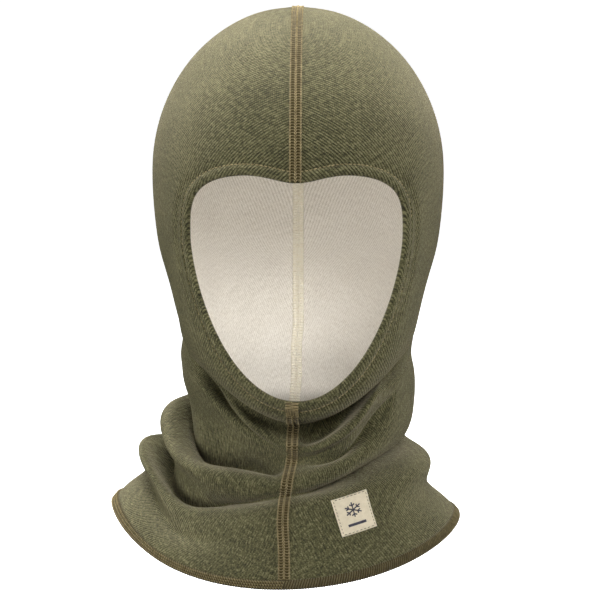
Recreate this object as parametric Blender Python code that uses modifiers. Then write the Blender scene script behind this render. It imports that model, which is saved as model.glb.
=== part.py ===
"""Knitted wool balaclava, worn shape.

Two mirror panels of knit cloth, left and right, run in one piece from the crown to the hem.
Flatlock seams join them down the middle: one from the face opening over the crown and down
the back, one from the chin to the front hem. The edge of the face opening and the bottom edge
are turned in and cover stitched, and a woven label is sewn to the front of the cape.

The origin is where the inside of the crown rests on the head. +Z is up, the face looks
toward -Y, and +X is the wearer's left.
"""

import math

import bmesh
import bpy
import numpy as np
from mathutils import Vector
from mathutils.bvhtree import BVHTree

MM = 0.001

# Cloth and stitching
CLOTH_THICKNESS = 2.0 * MM
GAP = 0.3 * MM
SEAM_HALF_GAP = 0.5 * MM
SEAM_WIDTH = 7.0 * MM
SEAM_COLUMNS = 5
THREAD_THICKNESS = 0.8 * MM
WELD_DISTANCE = 0.001 * MM
SMALLEST = 1e-12

# Finishes: colour and roughness
OLIVE_WOOL = ((0.13, 0.12, 0.065), 0.9)
TAN_THREAD = ((0.36, 0.27, 0.13), 0.8)
CREAM_THREAD = ((0.74, 0.68, 0.54), 0.85)
WOVEN_LABEL = ((0.8, 0.74, 0.62), 0.85)

# Head, heights measured up from the level of the lowest hem
CROWN_HEIGHT = 333.5 * MM
TEMPLE_HEIGHT = 240.0 * MM
HEAD_HALF_WIDTH = 83.5 * MM
FOREHEAD_DEPTH = 93.0 * MM
BACK_DEPTH = 98.0 * MM
SEAT_HEIGHT = CROWN_HEIGHT - CLOTH_THICKNESS

# Face opening
OPENING_CENTRE = -0.9 * MM
OPENING_HALF_WIDTH = 60.0 * MM
OPENING_WIDEST_HEIGHT = 207.5 * MM
OPENING_TOP = 36.0 * MM
OPENING_BOTTOM = 89.0 * MM
OPENING_DIP = 5.0 * MM
OPENING_DIP_WIDTH = 18.0 * MM
OPENING_TOP_FULLNESS = 3.6
OPENING_BOTTOM_FULLNESS = 1.6
TURNED_EDGE_WIDTH = 7.0 * MM
TURNED_EDGE_THICKNESS = 3.2 * MM
TURNED_EDGE_LIFT = 0.7 * MM
TURNED_EDGE_STEPS = 90
TURNED_EDGE_END_GAP = 1.5 * MM
CUTTER_OUTSET = 2.0 * MM
CUTTER_STEPS = 72
CUTTER_HALF_DEPTH = 60.0 * MM
CUTTER_MIDDLE_DEPTH = -90.0 * MM
FACE_STITCH_INSET = 5.4 * MM
FACE_STITCH_RADIUS = 0.5 * MM
CHIN_TACK_WIDTH = 7.0 * MM
CHIN_TACK_LENGTH = 3.0 * MM
CHIN_TACK_DROP = 1.2 * MM
CHIN_TACK_LIFT = 1.5 * GAP

# Bottom hem and label
HEM_WIDTH = 5.5 * MM
LABEL_WIDTH = 20.0 * MM
LABEL_LENGTH = 24.5 * MM
LABEL_THICKNESS = 0.6 * MM
LABEL_CENTRE = (30.6 * MM, 58.5 * MM)
LABEL_TILT = math.radians(15)
LABEL_FORESHORTENING = 0.92
LABEL_LIFT = 0.8 * MM
LABEL_STEPS = 5
LABEL_STITCH_INSET = 1.2 * MM
LABEL_STITCH_RADIUS = 0.35 * MM

# Eight directions round the body, in degrees from the front toward the wearer's left
DIRECTIONS = np.arange(0, 360, 45)

# Rows of the cloth below the cheeks, from the jaw down to the hem, in millimetres.
# Each row: sideways shift of its centre, lean of the front seam in degrees, then the radius
# and the height at the eight directions: front, front left, left, back left, back,
# back right, right and front right of the wearer.
JAW_TO_HEM = (
    (0, -2.2, (86, 80.5, 70.5, 80, 88, 80, 70.5, 80.5), (124, 148, 170, 172, 172, 172, 170, 148)),
    (0, -2.2, (83, 77.5, 68, 76.5, 81, 76.5, 68, 77.5), (111, 138, 157, 159, 159, 159, 157, 138)),
    (0, -2.2, (75, 72, 67, 74.5, 77, 74.5, 67, 72.5), (105, 131, 150, 150, 150, 150, 150, 132)),
    (0, -2.2, (58, 61, 66, 72.5, 74.5, 72.5, 66.5, 65), (104, 129, 143, 141, 141, 141, 143, 128)),
    (-1, -2.2, (53, 58, 66, 71, 72.5, 71, 66.5, 62), (96, 121, 135, 131, 131, 131, 135, 120)),
    (-1, -2.2, (61, 65, 67.5, 70, 72, 70, 66, 65), (91, 118, 128, 122, 121, 122, 128, 114)),
    (-1, -2.2, (58.5, 64, 68.5, 70, 72, 70, 65, 61), (85, 108, 116, 113, 111, 113, 118, 103)),
    (-2, -2.0, (59, 66, 68.5, 70.5, 72, 70, 64, 59), (79, 96, 102, 102, 101, 104, 108, 89)),
    (-3, -2.0, (68, 69, 68, 75, 78, 76, 72, 69), (75, 88, 94, 95, 93, 98, 102, 81)),
    (-4, -2.0, (72, 69, 67.5, 77, 82, 79, 74.5, 74), (70, 82, 89, 88, 86, 90, 93, 74)),
    (-5, -1.8, (71.5, 66, 68, 74, 79, 76, 69, 71.5), (65, 78, 85, 82, 79, 82, 84, 67)),
    (-6, -1.4, (77, 73, 77, 80, 85, 83, 81, 76), (60, 71, 77, 75, 73, 77, 82, 60)),
    (-7, -1.0, (83, 80, 81.5, 86, 90, 87, 82.5, 82), (51, 61, 67, 65, 63, 67, 74, 52)),
    (-7, -0.6, (88, 85.5, 82, 88, 92, 88.5, 81, 87.5), (41, 50, 59, 56, 52, 58, 66, 42)),
    (-7, -0.4, (94, 93, 92, 94, 95, 95, 91, 94), (28, 38, 50, 44, 37, 46, 58, 35)),
    (-7, -0.4, (98, 98.5, 100.5, 99, 97, 99, 100.5, 98.5), (17, 27, 41, 32, 22, 34, 48.5, 27)),
)

ROUND_STEPS = 18
HEAD_STEPS = 12
FOLD_STEPS = 24


def head_rows():
    """Rows of the head above the jaw: an egg, fuller at the back, narrowing to the cheeks."""
    rows = []
    angle = np.radians(DIRECTIONS)
    for polar in np.radians((0, 14, 28, 42, 56, 70, 82)):
        height = TEMPLE_HEIGHT + (CROWN_HEIGHT - TEMPLE_HEIGHT) * math.cos(polar)
        spread = math.sin(polar)
        rows.append((height, spread * HEAD_HALF_WIDTH, spread * FOREHEAD_DEPTH, spread * BACK_DEPTH))
    for height in np.array((232, 214, 197)) * MM:
        drop = TEMPLE_HEIGHT - height
        side = HEAD_HALF_WIDTH * math.sqrt(1 - (drop / (144 * MM)) ** 2)
        front = FOREHEAD_DEPTH + 1.5 * MM * math.sin(drop / (40 * MM))
        back = BACK_DEPTH * math.sqrt(1 - (drop / (164 * MM)) ** 2)
        rows.append((height, side, front, back))
    table = []
    for height, side, front, back in rows:
        depth = np.where(np.cos(angle) > 0, front, back)
        radius = side * depth / np.hypot(depth * np.sin(angle), side * np.cos(angle)).clip(SMALLEST)
        table.append((0.0, -2.2, radius / MM, np.full(len(angle), height / MM)))
    return table


def spline_matrix(knots, places):
    """Matrix that reads a natural cubic spline, given its values at the knots, at the places."""
    count = len(knots)
    step = np.diff(knots)
    bend = np.eye(count)
    pull = np.zeros((count, count))
    for i in range(1, count - 1):
        bend[i, i - 1:i + 2] = step[i - 1], 2 * (step[i - 1] + step[i]), step[i]
        pull[i, i - 1:i + 2] = 6 / step[i - 1], -6 / step[i - 1] - 6 / step[i], 6 / step[i]
    curvature = np.linalg.solve(bend, pull)
    span = np.clip(np.searchsorted(knots, places, side="right") - 1, 0, count - 2)
    width = step[span]
    after = (np.asarray(places) - knots[span]) / width
    before = 1 - after
    unit = np.eye(count)
    straight = before[:, None] * unit[span] + after[:, None] * unit[span + 1]
    bow_before = ((before ** 3 - before) * width ** 2 / 6)[:, None] * curvature[span]
    bow_after = ((after ** 3 - after) * width ** 2 / 6)[:, None] * curvature[span + 1]
    return straight + bow_before + bow_after


def closed_spline_matrix(places):
    """The same for values at the eight directions, joined into a ring."""
    wrapped = np.concatenate([DIRECTIONS - 360, DIRECTIONS, DIRECTIONS + 360]).astype(float)
    open_matrix = spline_matrix(wrapped, places)
    return open_matrix.reshape(len(places), 3, len(DIRECTIONS)).sum(axis=1)


def cloth_table():
    """All rows from crown to hem, as arrays, with the length of cloth run at each row."""
    rows = head_rows() + list(JAW_TO_HEM)
    shift = np.array([row[0] for row in rows]) * MM
    lean = np.array([row[1] for row in rows])
    radius = np.array([row[2] for row in rows]) * MM
    height = np.array([row[3] for row in rows]) * MM - SEAT_HEIGHT
    steps = np.hypot(np.diff(radius, axis=0), np.diff(height, axis=0)).mean(axis=1)
    run = np.concatenate([[0], np.cumsum(steps)])
    return shift, lean, radius, height, run


SHIFT, LEAN, RADIUS, HEIGHT, RUN = cloth_table()
JAW_RUN = RUN[len(RUN) - len(JAW_TO_HEM)]
HEM_RUN = RUN[-1]
CROWN_PATCH_RUN = 60 * MM


def cloth_points(turns, runs):
    """Outer face of the cloth at each turn (degrees) and each run (metres from the crown)."""
    along = spline_matrix(RUN, runs)
    lean = along @ LEAN
    leaning = turns[:, None] + lean * (1 + np.cos(np.radians(turns)))[:, None] / 2
    points = np.empty((len(turns), len(runs), 3))
    for j in range(len(runs)):
        around = closed_spline_matrix(np.mod(leaning[:, j] + 180, 360) - 180)
        radius = around @ (along[j] @ RADIUS)
        angle = np.radians(leaning[:, j])
        points[:, j, 0] = along[j] @ SHIFT + radius * np.sin(angle)
        points[:, j, 1] = -radius * np.cos(angle)
        points[:, j, 2] = around @ (along[j] @ HEIGHT)
    return points


def outward(points):
    """Unit normals of a grid of points, pointing away from the head."""
    across = np.gradient(points, axis=0)
    down = np.gradient(points, axis=1)
    normal = np.cross(down, across)
    normal /= np.linalg.norm(normal, axis=2, keepdims=True).clip(SMALLEST)
    normal[:, 0] = (0, 0, 1)
    return normal


RUNS = np.concatenate([
    np.linspace(RUN[0], JAW_RUN, HEAD_STEPS, endpoint=False),
    np.linspace(JAW_RUN, HEM_RUN, FOLD_STEPS + 1),
])
TURNS = np.linspace(-180, 180, 2 * ROUND_STEPS + 1)
CLOTH = cloth_points(TURNS, RUNS)
NORMALS = outward(CLOTH)


def blend(grid, turns, runs):
    """Read a grid between its points, along matching lists of turns and runs."""
    column = np.interp(np.mod(turns + 180, 360) - 180, TURNS, np.arange(len(TURNS)))
    row = np.interp(runs, RUNS, np.arange(len(RUNS)))
    left = np.clip(column.astype(int), 0, len(TURNS) - 2)
    top = np.clip(row.astype(int), 0, len(RUNS) - 2)
    right_share = (column - left)[..., None]
    low_share = (row - top)[..., None]
    upper = grid[left, top] * (1 - right_share) + grid[left + 1, top] * right_share
    lower = grid[left, top + 1] * (1 - right_share) + grid[left + 1, top + 1] * right_share
    return upper * (1 - low_share) + lower * low_share


def on_cloth(turns, runs, lift):
    """Points a lift above the faceted outer face of the cloth."""
    return blend(CLOTH, turns, runs) + lift * blend(NORMALS, turns, runs)


def make_material(name, colour, roughness):
    """Matt fabric or thread of one colour."""
    material = bpy.data.materials.new(name)
    material.use_nodes = True
    shader = material.node_tree.nodes["Principled BSDF"]
    shader.inputs["Base Color"].default_value = (*colour, 1)
    shader.inputs["Roughness"].default_value = roughness
    shader.inputs["Metallic"].default_value = 0
    material.diffuse_color = (*colour, 1)
    return material


def add_object(name, mesh, collection, material=None):
    """Link a mesh to a collection as a named object."""
    item = bpy.data.objects.new(name, mesh)
    collection.objects.link(item)
    if material:
        mesh.materials.append(material)
    return item


def grid_mesh(name, points, close_turns=False):
    """Quad mesh through a grid of points, its faces pointing away from the head."""
    columns, rows = points.shape[:2]
    last = columns if close_turns else columns - 1
    faces = []
    for i in range(last):
        for j in range(rows - 1):
            k = (i + 1) % columns
            faces.append((i * rows + j, i * rows + j + 1, k * rows + j + 1, k * rows + j))
    mesh = bpy.data.meshes.new(name)
    mesh.from_pydata([tuple(p) for p in points.reshape(-1, 3)], [], faces)
    mesh.shade_smooth()
    return mesh


def add_thickness(item, thickness):
    """Thicken an open sheet inward from its outer face."""
    solidify = item.modifiers.new("Thickness", "SOLIDIFY")
    solidify.thickness = thickness
    solidify.offset = -1


def add_boolean(item, other, operation):
    """Cut or join another closed mesh."""
    boolean = item.modifiers.new(operation.title(), "BOOLEAN")
    boolean.object = other
    boolean.operation = operation
    boolean.solver = "EXACT"


def opening_outline(steps, outset=0.0):
    """Heart-like outline of the face opening as x and height, clockwise from the right side.

    The upper part is a full superellipse with a dip at its middle, the lower part narrows to
    the chin. An outset moves the outline outward, square to itself.
    """
    angle = np.linspace(0, 2 * math.pi, steps, endpoint=False)
    side = np.cos(angle)
    rise = np.sin(angle)
    x_top = OPENING_HALF_WIDTH * np.sign(side) * np.abs(side) ** (2 / OPENING_TOP_FULLNESS)
    z_top = OPENING_TOP * np.abs(rise) ** (2 / OPENING_TOP_FULLNESS)
    z_top = z_top - OPENING_DIP * np.exp(-(x_top / OPENING_DIP_WIDTH) ** 2)
    x_low = OPENING_HALF_WIDTH * side
    z_low = -OPENING_BOTTOM * np.abs(rise) ** (2 / OPENING_BOTTOM_FULLNESS)
    x = np.where(rise >= 0, x_top, x_low)
    z = np.where(rise >= 0, z_top, z_low)
    outline = even_spacing(np.stack([x, z], axis=1), steps)
    along = np.roll(outline, -1, axis=0) - np.roll(outline, 1, axis=0)
    along /= np.linalg.norm(along, axis=1, keepdims=True)
    outline = outline + outset * np.stack([along[:, 1], -along[:, 0]], axis=1)
    return outline + (OPENING_CENTRE, OPENING_WIDEST_HEIGHT - SEAT_HEIGHT)


def even_spacing(outline, steps):
    """Spread the points of a closed outline evenly along its length."""
    ring = np.vstack([outline, outline[:1]])
    length = np.concatenate([[0], np.cumsum(np.linalg.norm(np.diff(ring, axis=0), axis=1))])
    places = np.linspace(0, length[-1], steps, endpoint=False)
    return np.stack([np.interp(places, length, ring[:, k]) for k in range(2)], axis=1)


def search_tree(meshes):
    """Search tree of some open surfaces, for finding points seen from the front."""
    corners = []
    faces = []
    for mesh in meshes:
        first = len(corners)
        corners += [vertex.co.copy() for vertex in mesh.vertices]
        faces += [[first + corner for corner in face.vertices] for face in mesh.polygons]
    return BVHTree.FromPolygons(corners, faces)


def on_front(tree, outline, lift):
    """Drop an outline of x and height on the front of the cloth and lift it off."""
    points = []
    for x, z in outline:
        hit, normal, _, _ = tree.ray_cast(Vector((x, -1, z)), Vector((0, 1, 0)))
        if normal.y > 0:
            normal = -normal
        points.append(hit + normal * lift)
    return np.array([tuple(p) for p in points])


def face_cutter(collection):
    """Prism of the face opening, a little larger than the finished edge."""
    curve = bpy.data.curves.new("face_cutter_outline", "CURVE")
    curve.dimensions = "2D"
    curve.fill_mode = "BOTH"
    curve.extrude = CUTTER_HALF_DEPTH
    outline = opening_outline(CUTTER_STEPS, CUTTER_OUTSET)
    spline = curve.splines.new("POLY")
    spline.points.add(len(outline) - 1)
    for point, (x, z) in zip(spline.points, outline):
        point.co = (x, z, 0, 1)
    spline.use_cyclic_u = True
    source = bpy.data.objects.new("face_cutter_outline", curve)
    collection.objects.link(source)
    source.rotation_euler = (math.pi / 2, 0, 0)
    source.location = (0, CUTTER_MIDDLE_DEPTH, 0)
    return as_mesh(source, "face_cutter", collection)


def as_mesh(source, name, collection, material=None):
    """Replace a curve object with a closed mesh in world space."""
    bpy.context.view_layer.update()
    evaluated = source.evaluated_get(bpy.context.evaluated_depsgraph_get())
    mesh = bpy.data.meshes.new_from_object(evaluated)
    mesh.transform(source.matrix_world)
    mesh.name = name
    bpy.data.objects.remove(source)
    item = add_object(name, mesh, collection, material)
    weld_mesh(mesh)
    return item


def weld_mesh(mesh):
    """Join points that lie on each other, such as the loose caps of a curve or a pole."""
    work = bmesh.new()
    work.from_mesh(mesh)
    bmesh.ops.remove_doubles(work, verts=work.verts, dist=WELD_DISTANCE)
    work.to_mesh(mesh)
    work.free()


def make_cutter(item):
    """Mark a helper that only shapes other pieces."""
    item.hide_render = True
    item.display_type = "WIRE"


def turned_edge_ring(tree):
    """Outer face of the doubled cloth all round the face opening, where the edge is turned in.

    Across its width it swells in an arch, highest a third of the way out and sunk at the stitches.
    """
    rings = []
    for share in np.linspace(0, 1, 4):
        lift = TURNED_EDGE_LIFT * math.cos(0.9 * math.pi * (share - 0.35))
        rings.append(on_front(tree, opening_outline(TURNED_EDGE_STEPS, share * TURNED_EDGE_WIDTH), lift))
    return np.stack(rings, axis=1)


def turned_edge(ring, side, collection):
    """The half of the turned edge that belongs to one panel."""
    offset = (ring[:, 0, 0] - seam_x_at(ring[:, 0, 2])) * side
    keep = offset > TURNED_EDGE_END_GAP
    start = np.flatnonzero(keep & ~np.roll(keep, 1))[0]
    half = ring[(start + np.arange(keep.sum())) % TURNED_EDGE_STEPS]
    ends = half[[0, -1]].copy()
    ends[..., 0] = seam_x_at(ends[..., 2]) + side * 2 * SEAM_HALF_GAP
    half = np.concatenate([ends[:1], half, ends[1:]])
    item = add_object("turned_edge", grid_mesh("turned_edge", half), collection)
    add_thickness(item, TURNED_EDGE_THICKNESS)
    return item


def seam_x_at(heights):
    """Sideways place of the front seam at given heights."""
    middle = len(TURNS) // 2
    order = np.argsort(CLOTH[middle, :, 2])
    return np.interp(heights, CLOTH[middle, order, 2], CLOTH[middle, order, 0])


def panel(name, side, cutter, edge, collection, material):
    """One half of the cloth from crown to hem, with its half of the face opening."""
    middle = len(TURNS) // 2
    points = CLOTH[middle:].copy() if side > 0 else CLOTH[:middle + 1].copy()
    points[[0, -1], :, 0] += side * SEAM_HALF_GAP
    points[:, 0, 0] = side * SEAM_HALF_GAP
    mesh = grid_mesh(name, points)
    weld_mesh(mesh)
    item = add_object(name, mesh, collection, material)
    add_thickness(item, CLOTH_THICKNESS)
    add_boolean(item, cutter, "DIFFERENCE")
    add_boolean(item, edge, "UNION")
    return item


def strip(name, turns, runs, lift, collection, material, closed=False):
    """Band of stitching that follows the cloth at a lift, one thread thick."""
    points = on_cloth(turns, runs, lift + THREAD_THICKNESS)
    item = add_object(name, grid_mesh(name, points, closed), collection, material)
    add_thickness(item, THREAD_THICKNESS)
    return item


def stitch_lift(inside):
    """Height of a band of thread above the outer face of the cloth."""
    return -CLOTH_THICKNESS - 2 * GAP - THREAD_THICKNESS if inside else GAP


def seam_runs(first_run, last_run):
    """Places along the cloth between two ends, on the rows of the grid."""
    inner_rows = RUNS[(RUNS > first_run + 1 * MM) & (RUNS < last_run - 1 * MM)]
    return np.concatenate([[first_run], inner_rows, [last_run]])


def throat_seam(name, first_run, last_run, inside, collection, material):
    """Flatlock stitching down the front, from the chin to the hem."""
    runs = seam_runs(first_run, last_run)
    radius = np.interp(runs, RUNS, np.hypot(CLOTH[0, :, 0], CLOTH[0, :, 1]))
    half_turn = np.degrees(SEAM_WIDTH / 2 / radius)
    turns = np.linspace(-1, 1, SEAM_COLUMNS)[:, None] * half_turn
    return strip(name, turns, np.broadcast_to(runs, turns.shape), stitch_lift(inside),
                 collection, material)


def crown_seam(name, tree, first_run, last_run, inside, collection, material):
    """Flatlock stitching from the face opening over the crown and down the back to the hem.

    Near the crown, where the columns of the cloth meet, each point is found by looking
    outward from the middle of the head. Further down it is placed by its turn and run.
    """
    lift = stitch_lift(inside) + THREAD_THICKNESS
    centre = Vector((0, 0, TEMPLE_HEIGHT - SEAT_HEIGHT))
    front = [(0, run) for run in seam_runs(RUNS[1], first_run)[::-1]]
    back = [(180, run) for run in seam_runs(RUNS[1], last_run)]
    columns = []
    for across in np.linspace(0.5, -0.5, SEAM_COLUMNS) * SEAM_WIDTH:
        column = []
        for turn, run in front + [(180, RUNS[0])] + back:
            middle = on_cloth(np.array([turn]), np.array([run]), 0)[0]
            if run < CROWN_PATCH_RUN:
                aim = Vector(middle) + Vector((across, 0, 0)) - centre
                hit, normal, _, _ = tree.ray_cast(centre, aim)
                outward_normal = normal if normal.dot(aim) > 0 else -normal
                column.append(tuple(hit + outward_normal * lift))
                continue
            radius = np.hypot(middle[0], middle[1])
            swing = math.degrees(across / radius) * (1 if turn == 0 else -1)
            column.append(on_cloth(np.array([turn + swing]), np.array([run]), lift)[0])
        columns.append(column)
    item = add_object(name, grid_mesh(name, np.array(columns)), collection, material)
    add_thickness(item, THREAD_THICKNESS)
    return item


def hem_strip(name, inside, collection, material):
    """Cover stitching round the whole bottom edge, over the turned-up cloth."""
    turns = np.repeat(TURNS[:-1, None], 3, axis=1)
    runs = HEM_RUN - HEM_WIDTH * np.linspace(1, 0.15, 3)
    return strip(name, turns, np.broadcast_to(runs, turns.shape), stitch_lift(inside),
                 collection, material, closed=True)


def closed_thread(name, points, radius, collection, material):
    """Closed round thread through a ring of points."""
    curve = bpy.data.curves.new(name, "CURVE")
    curve.dimensions = "3D"
    curve.bevel_depth = radius
    curve.bevel_resolution = 1
    spline = curve.splines.new("POLY")
    spline.points.add(len(points) - 1)
    for point, place in zip(spline.points, points):
        point.co = (*place, 1)
    spline.use_cyclic_u = True
    source = bpy.data.objects.new(name, curve)
    collection.objects.link(source)
    return as_mesh(source, name, collection, material)


def face_stitch(name, tree, lift, collection, material):
    """One closed thread line that runs round the face opening, on the turned edge."""
    outline = opening_outline(TURNED_EDGE_STEPS, FACE_STITCH_INSET)
    return closed_thread(name, on_front(tree, outline, lift), FACE_STITCH_RADIUS, collection, material)


def chin_tack(tree, collection, material):
    """Short bar of dense stitches that locks the chin seam at the edge of the face opening."""
    z = OPENING_WIDEST_HEIGHT - SEAT_HEIGHT - OPENING_BOTTOM - CHIN_TACK_DROP
    x = seam_x_at(np.array([z]))[0]
    grid = [[(x + across, z - down) for down in np.linspace(0, 1, 3) * CHIN_TACK_LENGTH]
            for across in np.linspace(-0.5, 0.5, 4) * CHIN_TACK_WIDTH]
    points = np.array([on_front(tree, row, CHIN_TACK_LIFT + THREAD_THICKNESS) for row in grid])
    item = add_object("chin_tack", grid_mesh("chin_tack", points), collection, material)
    add_thickness(item, THREAD_THICKNESS)
    return item


def label_place(across, up):
    """Place on the front, as x and height, of a point of the label seen flat."""
    cosine, sine = math.cos(LABEL_TILT), math.sin(LABEL_TILT)
    return (LABEL_CENTRE[0] + across * cosine - up * sine,
            LABEL_CENTRE[1] - SEAT_HEIGHT + across * sine + up * cosine)


def label_patch(tree, collection, material):
    """The label: a rectangle that lies on the front of the cape, square to the hem."""
    across = np.linspace(-0.5, 0.5, LABEL_STEPS) * LABEL_WIDTH
    down = np.linspace(0.5, -0.5, LABEL_STEPS) * LABEL_LENGTH * LABEL_FORESHORTENING
    rows = [[label_place(u, v) for v in down] for u in across]
    points = np.array([on_front(tree, row, LABEL_LIFT + LABEL_THICKNESS) for row in rows])
    item = add_object("label", grid_mesh("label", points), collection, material)
    add_thickness(item, LABEL_THICKNESS)
    return item


def label_stitch(tree, collection, material):
    """Thread sewn round the four sides of the label."""
    half_width = LABEL_WIDTH / 2 - LABEL_STITCH_INSET
    half_length = (LABEL_LENGTH / 2 - LABEL_STITCH_INSET) * LABEL_FORESHORTENING
    corners = [label_place(u * half_width, v * half_length) for u, v in ((-1, -1), (1, -1), (1, 1), (-1, 1))]
    sides = [np.linspace(corners[k], corners[(k + 1) % 4], LABEL_STEPS + 1)[:-1] for k in range(4)]
    lift = LABEL_LIFT + LABEL_THICKNESS + GAP + LABEL_STITCH_RADIUS
    points = on_front(tree, np.concatenate(sides), lift)
    return closed_thread("label_stitch", points, LABEL_STITCH_RADIUS, collection, material)


def run_at_height(turn, height):
    """Run along the cloth where a column reaches a height, searching down from the crown."""
    column = on_cloth(np.full(len(RUNS), turn), RUNS, 0)[:, 2]
    return RUNS[0] + np.interp(-height, -column[:len(RUNS) // 2], RUNS[:len(RUNS) // 2] - RUNS[0])


def main():
    for item in list(bpy.data.objects):
        bpy.data.objects.remove(item)
    parts = bpy.data.collections.new("balaclava")
    cutters = bpy.data.collections.new("cutters")
    bpy.context.scene.collection.children.link(parts)
    bpy.context.scene.collection.children.link(cutters)
    wool = make_material("olive_wool", *OLIVE_WOOL)
    tan = make_material("tan_thread", *TAN_THREAD)
    cream = make_material("cream_thread", *CREAM_THREAD)
    woven = make_material("woven_label", *WOVEN_LABEL)
    cloth = grid_mesh("cloth_outside", CLOTH[:-1], close_turns=True)
    ring = turned_edge_ring(search_tree([cloth]))
    edge_face = grid_mesh("turned_edge_outside", ring, close_turns=True)
    tree = search_tree([cloth, edge_face])
    bpy.data.meshes.remove(cloth)
    bpy.data.meshes.remove(edge_face)
    cutter = face_cutter(cutters)
    make_cutter(cutter)
    for name, side in (("left_panel", 1), ("right_panel", -1)):
        edge = turned_edge(ring, side, cutters)
        make_cutter(edge)
        panel(name, side, cutter, edge, parts, wool)
    brow_run = run_at_height(0, OPENING_WIDEST_HEIGHT + OPENING_TOP - OPENING_DIP - SEAT_HEIGHT)
    crown_end = brow_run - TURNED_EDGE_WIDTH - 1 * MM
    throat_start = JAW_RUN + 2 * TURNED_EDGE_WIDTH
    hem_end = HEM_RUN - HEM_WIDTH - 1 * MM
    for layer, inside, thread in (("cover_thread", False, tan), ("looper_thread", True, cream)):
        crown_seam(f"crown_seam_{layer}", tree, crown_end, hem_end, inside, parts, thread)
        throat_seam(f"throat_seam_{layer}", throat_start, hem_end, inside, parts, thread)
        hem_strip(f"hem_{layer}", inside, parts, thread)
    outer_lift = GAP + FACE_STITCH_RADIUS
    inner_lift = -TURNED_EDGE_THICKNESS - 2 * GAP - FACE_STITCH_RADIUS
    face_stitch("face_edge_cover_thread", tree, outer_lift, parts, tan)
    face_stitch("face_edge_looper_thread", tree, inner_lift, parts, cream)
    chin_tack(tree, parts, tan)
    label_patch(tree, parts, woven)
    label_stitch(tree, parts, cream)


main()
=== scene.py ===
"""Knitted wool balaclava in the shape it takes on a head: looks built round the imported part.

Two plated knit panels, olive outside and undyed inside, joined down the middle by flatlock
seams, with a turned and stitched face opening, a cover stitched hem and a woven label.
"""

import math

import bpy
import numpy as np
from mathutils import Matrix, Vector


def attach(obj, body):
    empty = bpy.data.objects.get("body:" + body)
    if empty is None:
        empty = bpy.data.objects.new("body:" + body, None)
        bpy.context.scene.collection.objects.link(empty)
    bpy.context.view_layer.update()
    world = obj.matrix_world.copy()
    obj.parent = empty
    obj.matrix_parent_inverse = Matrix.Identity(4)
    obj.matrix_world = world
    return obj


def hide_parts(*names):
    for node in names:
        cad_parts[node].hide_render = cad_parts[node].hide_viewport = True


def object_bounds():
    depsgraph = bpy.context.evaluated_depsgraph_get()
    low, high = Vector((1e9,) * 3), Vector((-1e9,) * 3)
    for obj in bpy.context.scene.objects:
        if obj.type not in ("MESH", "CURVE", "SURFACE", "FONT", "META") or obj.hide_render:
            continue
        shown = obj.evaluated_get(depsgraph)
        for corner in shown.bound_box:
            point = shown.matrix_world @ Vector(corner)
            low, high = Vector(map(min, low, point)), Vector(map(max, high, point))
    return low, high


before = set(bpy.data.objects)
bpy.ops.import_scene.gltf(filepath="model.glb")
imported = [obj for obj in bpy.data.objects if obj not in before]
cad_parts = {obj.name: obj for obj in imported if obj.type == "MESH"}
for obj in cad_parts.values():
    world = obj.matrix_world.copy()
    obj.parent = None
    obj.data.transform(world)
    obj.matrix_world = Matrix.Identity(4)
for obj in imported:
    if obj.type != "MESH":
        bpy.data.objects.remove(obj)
cad_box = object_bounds()

# ---------------------------------------------------------------------------------------------
# Camera, floor and light. The filled hood is held a little above the floor of a plain pale
# studio, seen from a little above the chin. Soft lights stand above it, at both sides, in front
# and, small and weak, inside it. The sky is brighter overhead than below.

MM = 0.001
CAMERA_DISTANCE = 1.6
CAMERA_RISE = math.radians(6)
CAMERA_AIM = (1.1 * MM, 0.0, -165.9 * MM)
FIELD_WIDTH = 345 * MM
FLOOR_DROP = 60 * MM

camera = bpy.data.objects.new("camera", bpy.data.cameras.new("camera"))
bpy.context.scene.collection.objects.link(camera)
bpy.context.scene.camera = camera
camera.data.lens = camera.data.sensor_width * CAMERA_DISTANCE / FIELD_WIDTH
camera.data.clip_end = 20
camera.location = (
    CAMERA_AIM[0],
    CAMERA_AIM[1] - CAMERA_DISTANCE * math.cos(CAMERA_RISE),
    CAMERA_AIM[2] + CAMERA_DISTANCE * math.sin(CAMERA_RISE),
)
camera.rotation_euler = (math.pi / 2 - CAMERA_RISE, 0, 0)

scene = bpy.context.scene
scene.view_settings.view_transform = "Standard"
scene.view_settings.look = "None"

SKY_GRADIENT = (("From Min", -0.5), ("From Max", 0.6), ("To Min", 0.1), ("To Max", 0.75))
world = bpy.data.worlds.new("studio")
world.use_nodes = True
scene.world = world
sky, sky_light = world.node_tree, world.node_tree.nodes["Background"]
sky_direction = sky.nodes.new("ShaderNodeTexCoord")
sky_parts = sky.nodes.new("ShaderNodeSeparateXYZ")
sky_height = sky.nodes.new("ShaderNodeMapRange")
sky.links.new(sky_direction.outputs["Generated"], sky_parts.inputs[0])
sky.links.new(sky_parts.outputs["Z"], sky_height.inputs["Value"])
for socket, value in SKY_GRADIENT:
    sky_height.inputs[socket].default_value = value
sky.links.new(sky_height.outputs[0], sky_light.inputs["Strength"])


def softbox(name, place, aim, size, power):
    """Square area light at a place, turned so that its face looks at the aim point."""
    light = bpy.data.lights.new(name, "AREA")
    light.size = size
    light.energy = power
    box = bpy.data.objects.new(name, light)
    scene.collection.objects.link(box)
    box.location = place
    across, ahead, up = np.subtract(aim, place)
    tilt = math.atan2(up, math.hypot(across, ahead))
    box.rotation_euler = (tilt + math.pi / 2, 0, math.atan2(-across, ahead))


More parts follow.
